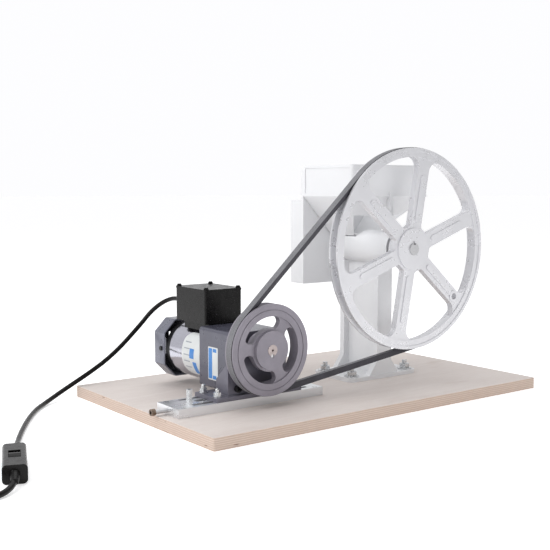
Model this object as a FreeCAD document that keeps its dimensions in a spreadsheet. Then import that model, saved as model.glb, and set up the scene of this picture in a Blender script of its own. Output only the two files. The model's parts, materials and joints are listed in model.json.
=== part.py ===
import FreeCAD, Part
import Sketcher
import math
import os
import re
from FreeCAD import Placement, Rotation, Vector

# Belt-driven hand grain mill on a plywood board: a cast mill with a spoked flywheel, and a
# geared motor on an adjustable slide that turns the flywheel with a V-belt.
# Frame: X along the board's long side (motor at -X, mill at +X), Y along the shafts
# (flywheel towards -Y, grinding plates towards +Y), Z up.  Origin: middle of the board's underside.
# All sizes are millimetres.

DIMENSIONS = {
    # plywood board
    "board_length": 625, "board_width": 392, "board_thick": 17, "board_corner": 3,
    # mill: shaft axis, base flange and column
    "mill_x": 116, "axis_z": 230, "foot_length": 146, "foot_width": 96, "foot_thick": 6.5,
    "foot_y": -2, "foot_corner": 10, "foot_bolt_x": 118, "foot_bolt_y": 66, "foot_hole": 8.6,
    "column_wide": 31, "column_deep": 92, "column_flange": 10, "column_web": 10,
    # mill: bearing tube, back plate, hopper and funnel
    "tube_radius": 27, "tube_front": -78, "plate_front": 60, "plate_thick": 6, "plate_width": 166,
    "plate_bottom": 167, "hopper_top": 361.5, "hopper_low": 312, "hopper_half": 83,
    "hopper_front": -60, "wall": 4, "funnel_low": 248, "throat_half": 20, "throat_front": 6,
    "throat_back": 54, "hopper_corner": 22, "nameplate_deep": 1.6, "border": 4.5,
    # main shaft, bearings, auger and grinding plates
    "shaft_radius": 9.5, "shaft_front": -114, "shaft_back": 122, "bearing_radius": 20.6,
    "bearing_long": 11, "bearing_front": -76, "bearing_rear": -28, "auger_radius": 18.5,
    "bore_radius": 20, "bore_front": -12, "burr_radius": 63.5, "burr_thick": 8.5, "burr_gap": 2.5,
    "burr_hole": 20, "thread_radius": 8, "thread_start": 91.6,
    "pin_y": 89, "knob_y": 95.5,
    # flour guard
    "guard_depth": 27, "guard_top": 305, "guard_sheet": 2, "guard_hole": 25,
    # flywheel
    "wheel_radius": 157.15, "rim_wide": 19, "rim_front": -112, "rim_inner": 143, "hub_radius": 32.5,
    "hub_back": -82, "spoke_half": 11.5, "spoke_thick": 11, "handle_radius": 124, "handle_hole": 5.2,
    "panel_start": 47, "panel_end": 112, "panel_half": 4.5,
    # sheave
    "sheave_x": -161, "sheave_z": 99.6, "sheave_radius": 65, "sheave_inner": 47.5,
    "sheave_hub": 27.5, "sheave_web": 9, "sheave_front": -115, "sheave_back": -84,
    "sheave_spoke": 8, "drive_shaft": 8,
    # V-belt and its groove
    "belt_top": 12.7, "belt_low": 7.2, "belt_high": 8, "belt_proud": 0.8, "groove_gap": 0.12,
    # slide rail
    "rail_left": -297, "rail_length": 250, "rail_front": -87, "rail_width": 57, "rail_high": 12.7,
    "slot_wide": 7.6, "slot_front_y": -74, "slot_back_y": -38, "screw_y": -56, "screw_z": 23.4,
    "anchor_x": -261,
    # motor bracket
    "bracket_wide": 148, "base_front": -86.5, "base_deep": 57.5, "bracket_front": -79, "bracket_thick": 6,
    "upright_thick": 6, "upright_half": 51, "shoulder_z": 77,
    # gear motor
    "gear_z": 79.6, "gear_half": 43.5, "gear_corner": 5, "gear_front": -73, "gear_long": 72,
    "motor_z": 76, "flange_thick": 7, "barrel_radius": 42.5, "barrel_long": 88, "barrel_wall": 3,
    "shield_thick": 12, "cap_half": 45, "cap_long": 30, "cap_corner": 20, "screw_pitch": 35.6,
    # gears: distance of the countershaft from the motor's axis, and the pitch radii
    "counter_x": 16.36, "counter_z": 9.66, "pinion_one": 4.5, "gear_one": 14.5, "pinion_two": 5.5,
    "gear_two": 16,
    # terminal box
    "box_wide": 65, "box_long": 84, "box_front": 6.5, "box_low": 124, "box_high": 48.5, "box_wall": 2.5,
    # mains cord, switch and plug
    "cord_size": 7, "gland_x": -172, "gland_z": 151, "gland_long": 26,
    "switch_long": 92, "switch_wide": 28, "switch_high": 22, "coil_mean": 38.4,
}

document = FreeCAD.newDocument("grain_mill")
sheet = document.addObject("Spreadsheet::Sheet", "dimensions")
for row, (alias, number) in enumerate(DIMENSIONS.items(), start=1):
    sheet.set(f"A{row}", alias)
    sheet.set(f"B{row}", str(number))
    sheet.setAlias(f"B{row}", alias)
document.recompute()

AXES = {
    "x": Rotation(Vector(0, 1, 0), 90),
    "y": Rotation(Vector(1, 0, 0), -90),
    "z": Rotation(),
}
sub_parts = []


def size(alias):
    """The number that the sheet holds under an alias."""
    return float(sheet.get(alias))


def formula(text):
    """An expression for the document: every alias in the text gets the sheet's name."""
    return re.sub(r"[a-z_]+", lambda word: "dimensions." + word.group() if word.group() in DIMENSIONS
                  else word.group(), str(text))


def number(text):
    """The value of a formula, worked out from the sheet."""
    return float(sheet.evalExpression(str(text)))


def place(item, at, rotation=None):
    """Bind an object's position to three formulas."""
    item.Placement = Placement(Vector(0, 0, 0), rotation or Rotation())
    for letter, text in zip("xyz", at):
        item.setExpression(f"Placement.Base.{letter}", formula(text))
    return item


def primitive(kind, name, at, rotation=None, **sizes):
    """A Part primitive whose sizes and place are formulas."""
    item = document.addObject(f"Part::{kind}", name)
    for key, text in sizes.items():
        item.setExpression(key, formula(text))
    return place(item, at, rotation)


def box(name, at, length, width, height):
    return primitive("Box", name, at, Length=length, Width=width, Height=height)


def rod(name, at, radius, long, along="y"):
    return primitive("Cylinder", name, at, AXES[along], Radius=radius, Height=long)


def cone(name, at, radius_one, radius_two, long, along="y"):
    return primitive("Cone", name, at, AXES[along], Radius1=radius_one, Radius2=radius_two, Height=long)


def hexagon(name, at, radius, long, along="z"):
    item = document.addObject("Part::Prism", name)
    item.Polygon = 6
    item.setExpression("Circumradius", formula(radius))
    item.setExpression("Height", formula(long))
    return place(item, at, AXES[along])


def cut(name, base, tool):
    item = document.addObject("Part::Cut", name)
    item.Base, item.Tool = base, tool
    return item


def fuse(name, pieces):
    item = document.addObject("Part::MultiFuse", name)
    item.Shapes = pieces
    return item


def group(name, pieces):
    """Separate solids kept together as one sub-part."""
    item = document.addObject("Part::Compound", name)
    item.Links = pieces
    return item


def round_edges(name, base, radius, choose, kind="Part::Fillet"):
    """Fillet, or chamfer, the edges of a base object that a test picks."""
    document.recompute()
    item = document.addObject(kind, name)
    item.Base = base
    chosen = [i for i, edge in enumerate(base.Shape.Edges, start=1) if choose(edge)]
    item.Edges = [(i, radius, radius) for i in chosen]
    return item


def runs_along(axis):
    """A test for straight edges parallel to an axis."""
    def test(edge):
        if not isinstance(edge.Curve, Part.Line):
            return False
        return abs(edge.Curve.Direction.dot(axis)) > 0.999
    return test


def keep(label, item):
    """Make an object one of the sub-parts that are written out."""
    item.Label = label
    sub_parts.append(item)
    return item


def keep_shape(label, shape):
    """A sub-part whose shape is made directly from the sheet's numbers."""
    item = document.addObject("Part::Feature", label + "_feature")
    item.Shape = shape
    return keep(label, item)


def plane_of(body, role):
    return next(f for f in body.Origin.OriginFeatures if f.Role == role)


def new_sketch(body, name, role):
    sketch = body.newObject("Sketcher::SketchObject", name)
    sketch.AttachmentSupport = [(plane_of(body, role), "")]
    sketch.MapMode = "FlatFace"
    return sketch


def bound_outline(sketch, points):
    """A closed outline of straight lines whose corners are pairs of formulas, all zero or more."""
    corners = [Vector(number(a), number(b), 0) for a, b in points]
    for i, corner in enumerate(corners):
        sketch.addGeometry(Part.LineSegment(corner, corners[(i + 1) % len(corners)]), False)
    for i in range(len(corners)):
        sketch.addConstraint(Sketcher.Constraint("Coincident", i, 2, (i + 1) % len(corners), 1))
    for i, pair in enumerate(points):
        for text, kind, axis in ((pair[0], "DistanceX", -2), (pair[1], "DistanceY", -1)):
            if text == "0":
                sketch.addConstraint(Sketcher.Constraint("PointOnObject", i, 1, axis))
                continue
            index = sketch.addConstraint(Sketcher.Constraint(kind, -1, 1, i, 1, number(text)))
            sketch.setExpression(f"Constraints[{index}]", formula(text))
    return sketch


def bound_circle(sketch, centre, radius):
    """A circle whose centre and radius are formulas, all above zero."""
    index = sketch.addGeometry(Part.Circle(Vector(number(centre[0]), number(centre[1]), 0),
                                           Vector(0, 0, 1), number(radius)), False)
    for kind, text in (("DistanceX", centre[0]), ("DistanceY", centre[1])):
        rule = sketch.addConstraint(Sketcher.Constraint(kind, -1, 1, index, 3, number(text)))
        sketch.setExpression(f"Constraints[{rule}]", formula(text))
    rule = sketch.addConstraint(Sketcher.Constraint("Radius", index, number(radius)))
    sketch.setExpression(f"Constraints[{rule}]", formula(radius))


def pocket(body, name, sketch, depth=None):
    """Cut a sketch right through, or to a depth, and check that it removed something."""
    document.recompute()
    before = body.Shape.Volume
    item = body.newObject("PartDesign::Pocket", name)
    item.Profile = sketch
    if depth is None:
        item.Type = 1
        item.Midplane = True
    else:
        item.setExpression("Length", formula(depth))
    document.recompute()
    if body.Shape.Volume >= before - 1e-6:
        item.Reversed = True
        document.recompute()
    if body.Shape.Volume >= before - 1e-6:
        raise RuntimeError(f"{name} cuts nothing")
    return item


def prism(name, role, points, depth, at, rotation=None):
    """A PartDesign body: one outline on an origin plane, padded towards the positive side."""
    body = document.addObject("PartDesign::Body", name)
    sketch = bound_outline(new_sketch(body, name + "_outline", role), points)
    pad = body.newObject("PartDesign::Pad", name + "_pad")
    pad.Profile = sketch
    pad.setExpression("Length", formula(depth))
    document.recompute()
    box_now = body.Shape.BoundBox
    if min(box_now.XMin, box_now.YMin, box_now.ZMin) < -1e-6:
        pad.Reversed = True
    return place(body, at, rotation)


def ring(name, at, outer, inner, long, along="y"):
    """A plain tube."""
    start = list(at)
    letter = "xyz".index(along)
    start[letter] = f"{at[letter]}-1"
    bore = rod(name + "_bore", start, inner, f"{long}+2", along)
    return cut(name, rod(name + "_outside", at, outer, long, along), bore)


def bolt(name, at, head_radius, head_high, shank_radius, shank_long, along="z"):
    """A hexagon-headed bolt: the head starts at its place, the shank goes the other way."""
    letter = "xyz".index(along)
    start = list(at)
    start[letter] = f"{at[letter]}-({shank_long})"
    head = hexagon(name + "_head", at, head_radius, head_high, along)
    return fuse(name, [head, rod(name + "_shank", start, shank_radius, shank_long, along)])


def window_edges(outer, inner, half, outer_corner, inner_corner, spokes):
    """The rounded opening between two spokes, as edges around the origin in the XY plane."""
    step = 2 * math.pi / spokes

    def turned(along, across, angle, side):
        across *= side
        return Vector(along * math.cos(angle) - across * math.sin(angle),
                      along * math.sin(angle) + across * math.cos(angle), 0)

    def corner_points(side, angle):
        rise_out = math.sqrt((outer - outer_corner) ** 2 - (half + outer_corner) ** 2)
        rise_in = math.sqrt((inner + inner_corner) ** 2 - (half + inner_corner) ** 2)
        out_centre = (rise_out, half + outer_corner)
        in_centre = (rise_in, half + inner_corner)
        out_scale = outer / (outer - outer_corner)
        in_scale = inner / (inner + inner_corner)
        flat = [(rise_in, half), (rise_out, half)]
        on_rim = (out_centre[0] * out_scale, out_centre[1] * out_scale)
        on_hub = (in_centre[0] * in_scale, in_centre[1] * in_scale)
        root = math.sqrt(0.5)
        out_middle = (out_centre[0] + outer_corner * root, out_centre[1] - outer_corner * root)
        in_middle = (in_centre[0] - inner_corner * root, in_centre[1] - inner_corner * root)
        return [turned(*p, angle, side) for p in (on_hub, in_middle, *flat, out_middle, on_rim)]

    first = corner_points(1, 0)
    last = corner_points(-1, step)
    rim_middle = Vector(outer * math.cos(step / 2), outer * math.sin(step / 2), 0)
    hub_middle = Vector(inner * math.cos(step / 2), inner * math.sin(step / 2), 0)
    return [
        Part.Arc(first[0], first[1], first[2]), Part.LineSegment(first[2], first[3]),
        Part.Arc(first[3], first[4], first[5]), Part.Arc(first[5], rim_middle, last[5]),
        Part.Arc(last[5], last[4], last[3]), Part.LineSegment(last[3], last[2]),
        Part.Arc(last[2], last[1], last[0]), Part.Arc(last[0], hub_middle, first[0]),
    ]


def wheel(name, profile, window, spokes, at, turn):
    """A spoked wheel: a turned profile with one window, repeated round the axis."""
    body = document.addObject("PartDesign::Body", name)
    section = bound_outline(new_sketch(body, name + "_section", "XZ_Plane"), profile)
    spin = body.newObject("PartDesign::Revolution", name + "_turned")
    spin.Profile = section
    spin.ReferenceAxis = (section, ["V_Axis"])
    spin.Angle = 360
    document.recompute()
    opening = new_sketch(body, name + "_window", "XY_Plane")
    opening.addGeometry(window_edges(*window, spokes), False)
    through = pocket(body, name + "_opening", opening)
    pattern = body.newObject("PartDesign::PolarPattern", name + "_windows")
    pattern.Originals = [through]
    pattern.Axis = (opening, ["N_Axis"])
    pattern.Angle = 360
    pattern.Occurrences = spokes
    body.Tip = pattern
    document.recompute()
    place(body, at, AXES["y"].multiply(Rotation(Vector(0, 0, 1), turn)))
    return body


def four(name, make, centre, spread_x, spread_y):
    """Four copies at the corners of a rectangle."""
    items = []
    for i, (sx, sy) in enumerate(((-1, -1), (1, -1), (-1, 1), (1, 1))):
        items.append(make(f"{name}_{i}", f"{centre[0]}+({sx})*{spread_x}/2",
                          f"{centre[1]}+({sy})*{spread_y}/2"))
    return items


# ---- board -----------------------------------------------------------------------------------
RAIL_TOP = "board_thick+rail_high"
RAIL_SCREWS = [(f"rail_left+{along}", f"rail_front+{across}")
               for along in ("12", "rail_length-12") for across in ("5", "rail_width-5")]


def make_board():
    body = document.addObject("PartDesign::Body", "board_body")
    outline = bound_outline(new_sketch(body, "board_outline", "XY_Plane"), [
        ("0", "0"), ("board_length", "0"), ("board_length", "board_width"), ("0", "board_width")])
    pad = body.newObject("PartDesign::Pad", "board_pad")
    pad.Profile = outline
    pad.setExpression("Length", formula("board_thick"))
    document.recompute()
    upright = runs_along(Vector(0, 0, 1))
    corners = body.newObject("PartDesign::Fillet", "board_corners")
    corners.Base = (pad, [f"Edge{i}" for i, e in enumerate(pad.Shape.Edges, 1) if upright(e)])
    corners.setExpression("Radius", formula("board_corner"))
    document.recompute()
    holes = new_sketch(body, "board_holes", "XY_Plane")
    heads = new_sketch(body, "board_recesses", "XY_Plane")
    for sx in (-1, 1):
        for sy in (-1, 1):
            spot = (f"board_length/2+mill_x+({sx})*foot_bolt_x/2",
                    f"board_width/2+foot_y+({sy})*foot_bolt_y/2")
            bound_circle(holes, spot, "foot_hole/2")
            bound_circle(heads, spot, "9.5")
    for x, y in RAIL_SCREWS:
        bound_circle(holes, (f"board_length/2+{x}", f"board_width/2+{y}"), "2.1")
    pocket(body, "board_drilled", holes)
    pocket(body, "board_counterbored", heads, "6.5")
    keep("plywood_base", place(body, ("-board_length/2", "-board_width/2", "0")))


# ---- mill ------------------------------------------------------------------------------------
def axis_at(y):
    return ("mill_x", y, "axis_z")


def frustum(name, low, high, low_x, low_y, high_x, high_y):
    """A four-sided funnel shape between two level rectangles, each given as its two limits."""
    item = document.addObject("Part::Wedge", name)
    values = {"Ymin": low, "Ymax": high, "Xmin": low_x[0], "Xmax": low_x[1],
              "X2min": high_x[0], "X2max": high_x[1], "Zmin": f"-({low_y[1]})",
              "Zmax": f"-({low_y[0]})", "Z2min": f"-({high_y[1]})", "Z2max": f"-({high_y[0]})"}
    for key, text in values.items():
        item.setExpression(key, formula(text))
    return place(item, ("0", "0", "0"), Rotation(Vector(1, 0, 0), 90))


def make_housing():
    left = "mill_x-foot_length/2"
    foot_block = box("foot_block", (left, "foot_y-foot_width/2", "board_thick"),
                     "foot_length", "foot_width", "foot_thick")
    foot = round_edges("foot", foot_block, size("foot_corner"), runs_along(Vector(0, 0, 1)))
    column_high = "axis_z-board_thick"
    web = box("column_web_wall", ("mill_x-column_web/2", "foot_y-column_deep/2", "board_thick"),
              "column_web", "column_deep", column_high)
    flanges = [box(f"column_flange_{i}", ("mill_x-column_wide/2", y, "board_thick"),
                   "column_wide", "column_flange", column_high)
               for i, y in enumerate(("foot_y-column_deep/2", "foot_y+column_deep/2-column_flange"))]
    # the flanges spread into the foot
    flares = []
    for i, y in enumerate(("foot_y-column_deep/2", "foot_y+column_deep/2-column_flange")):
        flares.append(frustum(f"column_flare_{i}", "board_thick+foot_thick", "board_thick+foot_thick+22",
                              ("mill_x-column_wide/2-16", "mill_x+column_wide/2+16"),
                              (y, f"{y}+column_flange"),
                              ("mill_x-column_wide/2", "mill_x+column_wide/2"),
                              (y, f"{y}+column_flange")))
    tube = rod("bearing_tube", axis_at("tube_front"), "tube_radius", "plate_front-tube_front")
    plate = box("back_plate", ("mill_x-plate_width/2", "plate_front", "plate_bottom"),
                "plate_width", "plate_thick", "hopper_top-plate_bottom")
    outer_x = ("mill_x-hopper_half", "mill_x+hopper_half")
    outer_y = ("hopper_front", "plate_front")
    inner_x = ("mill_x-hopper_half+wall", "mill_x+hopper_half-wall")
    inner_y = ("hopper_front+wall", "plate_front")
    hopper_block = box("hopper_block", (outer_x[0], "hopper_front", "hopper_low"),
                       "2*hopper_half", "plate_front-hopper_front", "hopper_top-hopper_low")
    hopper = round_edges("hopper_outside", hopper_block, 5, lambda edge: (
        runs_along(Vector(0, 0, 1))(edge) and edge.CenterOfMass.y < 0))
    funnel = frustum("funnel_outside", "funnel_low", "hopper_low",
                     ("mill_x-throat_half-wall", "mill_x+throat_half+wall"),
                     ("throat_front-wall", "throat_back+wall"), outer_x, outer_y)
    rib = box("hopper_rib", ("mill_x-3", "hopper_front-2", "axis_z+tube_radius-4"), "6", "8",
              "hopper_low-axis_z-tube_radius+10")
    solid = fuse("housing_solid", [foot, web, *flanges, *flares, tube, plate, hopper, funnel, rib])
    hopper_room = box("hopper_room", (inner_x[0], inner_y[0], "hopper_low"), "2*(hopper_half-wall)",
                      "plate_front-hopper_front-wall", "hopper_top-hopper_low+1")
    funnel_room = frustum("funnel_room", "axis_z+8", "hopper_low+0.01",
                          ("mill_x-throat_half+5", "mill_x+throat_half-5"),
                          ("throat_front", "throat_back"), inner_x, inner_y)
    bearing_room = rod("bearing_room", axis_at("tube_front-1"), "bearing_radius+0.05",
                       "bearing_rear+bearing_long-tube_front+1")
    seal_room = rod("seal_room", axis_at("bearing_rear"), "shaft_radius+0.8",
                    "bore_front-bearing_rear+2")
    auger_room = rod("auger_room", axis_at("bore_front"), "bore_radius",
                     "plate_front+plate_thick-bore_front+1")
    name_room = box("nameplate_room", ("mill_x-hopper_half-1", "hopper_front+border", "hopper_low+border"),
                    "1+nameplate_deep", "plate_front-hopper_front-2*border",
                    "hopper_top-hopper_low-2*border")
    foot_holes = four("foot_hole_cut", lambda name, x, y: rod(
        name, (x, y, "board_thick-1"), "foot_hole/2", "foot_thick+2", "z"),
        ("mill_x", "foot_y"), "foot_bolt_x", "foot_bolt_y")
    # the burr's screws end inside the plate
    screw_holes = [rod(f"burr_screw_hole_{i}", at, "2.6", "plate_thick")
                   for i, at in enumerate(burr_screw_places("plate_front+1.8"))]
    rooms = fuse("housing_rooms", [hopper_room, funnel_room, bearing_room, seal_room, auger_room,
                                   name_room, *foot_holes, *screw_holes])
    keep("mill_housing", cut("mill_housing_cut", solid, rooms))


def burr_screw_places(y, reach="52"):
    """Three places round the shaft's axis, a third of a turn apart."""
    return [(f"mill_x+({reach})*{math.cos(angle):.6f}", y, f"axis_z+({reach})*{math.sin(angle):.6f}")
            for angle in (math.radians(90), math.radians(210), math.radians(330))]


def make_mill_fixings():
    def washer(name, x, y):
        return ring(name, (x, y, "board_thick+foot_thick"), "12", "4.3", "2", "z")

    def stud(name, x, y):
        head = hexagon(name + "_head", (x, y, "0.8"), "7.5", "5.3")
        return fuse(name, [head, rod(name + "_shank", (x, y, "6"), "4",
                                     "board_thick+foot_thick+8.5", "z")])

    def nut(name, x, y):
        blank = hexagon(name + "_blank", (x, y, "board_thick+foot_thick+2"), "8.4", "6.8")
        return cut(name, blank, rod(name + "_bore", (x, y, "board_thick+foot_thick+1"), "4.05",
                                    "9", "z"))

    centre = ("mill_x", "foot_y")
    for label, make in (("mill_washers", washer), ("mill_bolts", stud), ("mill_nuts", nut)):
        keep(label, group(label + "_set", four(label, make, centre, "foot_bolt_x", "foot_bolt_y")))


def make_shaft_line():
    # main shaft, with its reduced threaded end
    body = rod("shaft_body", axis_at("shaft_front"), "shaft_radius", "thread_start-shaft_front")
    end = rod("shaft_thread", axis_at("thread_start"), "thread_radius", "shaft_back-thread_start")
    shaft = fuse("shaft_solid", [body, end])
    keyway = box("shaft_keyway", ("mill_x-2.4", "shaft_front-1", "axis_z+shaft_radius-2.4"),
                 "4.8", "36", "4")
    pin_hole = rod("shaft_pin_hole", ("mill_x-shaft_radius-1", "pin_y", "axis_z"), "2.5",
                   "2*shaft_radius+2", "x")
    keep("main_shaft", cut("main_shaft_cut", shaft, fuse("shaft_rooms", [keyway, pin_hole])))
    for label, y in (("front_bearing", "bearing_front"), ("rear_bearing", "bearing_rear")):
        keep(label, ring(label + "_ring", axis_at(y), "bearing_radius", "shaft_radius+0.04",
                         "bearing_long"))
    keep("bearing_spacer", ring("bearing_spacer_ring", axis_at("bearing_front+bearing_long"),
                                "bearing_radius-0.1", "bearing_radius-3",
                                "bearing_rear-bearing_front-bearing_long"))
    keep_shape("auger", auger_shape())


def auger_shape():
    """A sleeve on the shaft with one helical flight."""
    start = size("bore_front") + 4
    long = size("plate_front") + size("plate_thick") + size("burr_thick") - start - 1
    core_radius = 12.0
    core = Part.makeCylinder(core_radius, long)
    pitch = 22.0
    helix = Part.makeHelix(pitch, long - 3, core_radius)
    low, high = core_radius - 0.6, size("auger_radius")
    corners = [Vector(low, 0, -1.5), Vector(high, 0, -1.1), Vector(high, 0, 1.1), Vector(low, 0, 1.5)]
    outline = Part.makePolygon(corners + corners[:1])
    flight = Part.Wire(helix.Edges).makePipeShell([outline], True, True)
    flight.translate(Vector(0, 0, 1.5))
    shape = core.fuse(flight)
    shape = shape.common(Part.makeCylinder(high + 1, long))
    shape = shape.cut(Part.makeCylinder(size("shaft_radius"), long))
    shape.Placement = Placement(Vector(size("mill_x"), start, size("axis_z")), AXES["y"])
    return shape


def make_burrs():
    still = ring("still_burr_blank", axis_at("plate_front+plate_thick"), "burr_radius", "burr_hole",
                 "burr_thick")
    holes = [rod(f"still_burr_hole_{i}", at, "2.6", "burr_thick+2")
             for i, at in enumerate(burr_screw_places("plate_front+plate_thick-1"))]
    sinks = [rod(f"still_burr_sink_{i}", at, "4.8", "4")
             for i, at in enumerate(burr_screw_places("plate_front+plate_thick+burr_thick-3"))]
    keep("stationary_burr", cut("stationary_burr_cut", still, fuse("still_burr_rooms", holes + sinks)))
    screws = []
    for i in range(3):
        shank = rod(f"burr_screw_shank_{i}", burr_screw_places("plate_front+2")[i], "2.5",
                    "plate_thick+burr_thick-3")
        head = rod(f"burr_screw_head_{i}",
                   burr_screw_places("plate_front+plate_thick+burr_thick-2.6")[i], "4.5", "2.4")
        screws.append(fuse(f"burr_screw_{i}", [shank, head]))
    keep("burr_screws", group("burr_screw_set", screws))
    moving_y = "plate_front+plate_thick+burr_thick+burr_gap"
    disc = rod("moving_burr_disc", axis_at(moving_y), "burr_radius", "burr_thick")
    hub = rod("moving_burr_hub", axis_at(moving_y), "18", "burr_thick+8.4")
    bore = rod("moving_burr_bore", axis_at(f"{moving_y}-1"), "shaft_radius+0.05", "burr_thick+10")
    slot = box("moving_burr_slot", ("mill_x-20", f"{moving_y}+burr_thick+0.6", "axis_z-2.9"),
               "40", "10", "5.8")
    keep("rotating_burr", cut("rotating_burr_cut", fuse("moving_burr_blank", [disc, hub]),
                              fuse("moving_burr_rooms", [bore, slot])))
    keep("drive_pin", rod("drive_pin_rod", ("mill_x-16", "pin_y", "axis_z"), "2.5", "32", "x"))
    keep("thrust_washer", ring("thrust_washer_ring", axis_at(f"{moving_y}+burr_thick+8.5"), "15",
                               "shaft_radius+0.05", "1.4"))
    knob_hub = rod("knob_hub", axis_at("knob_y"), "19", "8")
    grip = rod("knob_grip", axis_at("knob_y+6"), "31", "17")
    dents = []
    for i in range(6):
        angle = math.radians(60 * i)
        at = (f"mill_x+37*{math.cos(angle):.6f}", "knob_y+5", f"axis_z+37*{math.sin(angle):.6f}")
        dents.append(rod(f"knob_dent_{i}", at, "11", "20"))
    knob_bore = rod("knob_bore", axis_at("knob_y-1"), "thread_radius+0.06", "30")
    keep("adjusting_knob", cut("adjusting_knob_cut", fuse("knob_blank", [knob_hub, grip]),
                               fuse("knob_rooms", [*dents, knob_bore])))


def make_guard():
    """Sheet cover round the grinding plates, open below so that the flour drops out."""
    back = "plate_front+plate_thick"
    outside = box("guard_outside", ("mill_x-plate_width/2", back, "plate_bottom"), "plate_width",
                  "guard_depth", "guard_top-plate_bottom")
    inside = box("guard_inside", ("mill_x-plate_width/2+guard_sheet", f"{back}-1", "plate_bottom-1"),
                 "plate_width-2*guard_sheet", "guard_depth-guard_sheet+1",
                 "guard_top-plate_bottom-guard_sheet+1")
    hole = rod("guard_knob_hole", axis_at(back), "guard_hole", "guard_depth+2")
    tabs = [box(f"guard_tab_{i}", (x, back, "guard_top-24"), "12", "guard_sheet", "12")
            for i, x in enumerate(("mill_x-plate_width/2+1", "mill_x+plate_width/2-13"))]
    shell = fuse("guard_shell", [cut("guard_hollow", outside, inside), *tabs])
    screw_spots = [("mill_x-plate_width/2+8", "guard_top-18"), ("mill_x+plate_width/2-8", "guard_top-18")]
    drills = [rod(f"guard_drill_{i}", (x, f"{back}-1", z), "2.2", "guard_sheet+2")
              for i, (x, z) in enumerate(screw_spots)]
    keep("flour_guard", cut("flour_guard_cut", shell, fuse("guard_rooms", [hole, *drills])))
    screws = []
    for i, (x, z) in enumerate(screw_spots):
        head = rod(f"guard_screw_head_{i}", (x, f"{back}+guard_sheet", z), "4", "3")
        shank = rod(f"guard_screw_shank_{i}", (x, back, z), "2.1", "guard_sheet")
        screws.append(fuse(f"guard_screw_{i}", [head, shank]))
    keep("guard_screws", group("guard_screw_set", screws))


# ---- flywheel, sheave and belt ---------------------------------------------------------------
SPOKE_TURN = 19.5
SHEAVE_TURN = 55
GROOVE_DEEP = "(belt_high+1.2-belt_proud)"


def groove(edge, middle):
    """The four corners of a belt groove in a rim, from the front of the rim to the back."""
    mouth = "(belt_top/2+groove_gap)"
    root = "(belt_low/2+groove_gap)"
    low = f"{edge}-{GROOVE_DEEP}"
    return [(edge, f"{middle}-{mouth}"), (low, f"{middle}-{root}"), (low, f"{middle}+{root}"),
            (edge, f"{middle}+{mouth}")]


def raised_panel(i, turn):
    """A long raised panel with round ends along one spoke, at an angle from +X towards +Z."""
    along, across = math.cos(math.radians(turn)), math.sin(math.radians(turn))
    centre = axis_at("rim_front+1.2")
    ends = [rod(f"panel_end_{i}_{j}", (f"{centre[0]}+({reach})*{along:.6f}", centre[1],
                                       f"{centre[2]}+({reach})*{across:.6f}"), "panel_half", "3")
            for j, reach in enumerate(("panel_start", "panel_end"))]
    bar = box(f"panel_bar_{i}", (f"{centre[0]}+panel_start*{along:.6f}+panel_half*{across:.6f}", centre[1],
                                 f"{centre[2]}+panel_start*{across:.6f}-panel_half*{along:.6f}"),
              "panel_end-panel_start", "3", "2*panel_half")
    bar.Placement = Placement(bar.Placement.Base, Rotation(Vector(0, 1, 0), -turn))
    return fuse(f"panel_{i}", [*ends, bar])


def make_flywheel():
    profile = [
        ("shaft_radius+0.02", "0"), ("hub_radius", "0"), ("hub_radius", "2.5"), ("rim_inner", "2.5"),
        ("rim_inner", "1.2"), ("wheel_radius-5", "1.2"), ("wheel_radius-5", "0"), ("wheel_radius", "0"),
        *groove("wheel_radius", "rim_wide/2"), ("wheel_radius", "rim_wide"),
        ("rim_inner+1.5", "rim_wide"), ("rim_inner+1.5", "2.5+spoke_thick"),
        ("hub_radius-7", "2.5+spoke_thick"), ("hub_radius-7", "hub_back-rim_front"),
        ("shaft_radius+0.02", "hub_back-rim_front")]
    window = (size("rim_inner"), size("hub_radius") + 4, size("spoke_half"), 15, 6)
    blank = wheel("flywheel_blank", profile, window, 6, axis_at("rim_front"), -SPOKE_TURN)
    angle = math.radians(SPOKE_TURN - 60)
    spot = (f"mill_x+handle_radius*{math.cos(angle):.6f}", "rim_front-1",
            f"axis_z+handle_radius*{math.sin(angle):.6f}")
    keyway = box("flywheel_keyway", ("mill_x-2.4", "rim_front-1", "axis_z+5"), "4.8", "34", "7.2")
    screw_hole = rod("flywheel_screw_hole", ("mill_x", "hub_back-7", "axis_z-hub_radius"), "3.05",
                     "hub_radius-3", "z")
    rooms = fuse("flywheel_rooms", [rod("handle_socket", spot, "handle_hole", "20"), keyway, screw_hole])
    boss = rod("handle_boss", (spot[0], "rim_front+1", spot[2]), "9.5", "8")
    panels = [raised_panel(i, SPOKE_TURN + 60 * i) for i in range(6)]
    keep("flywheel", cut("flywheel_cut", fuse("flywheel_solid", [blank, boss, *panels]), rooms))
    keep("flywheel_key", box("flywheel_key_bar", ("mill_x-2.38", "rim_front+1", "axis_z+shaft_radius-2.35"),
                             "4.76", "28", "4.7"))
    keep("flywheel_set_screw", rod("flywheel_set_screw_rod", ("mill_x", "hub_back-7", "axis_z-hub_radius+9"),
                                   "3", "hub_radius-9-shaft_radius", "z"))


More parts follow.
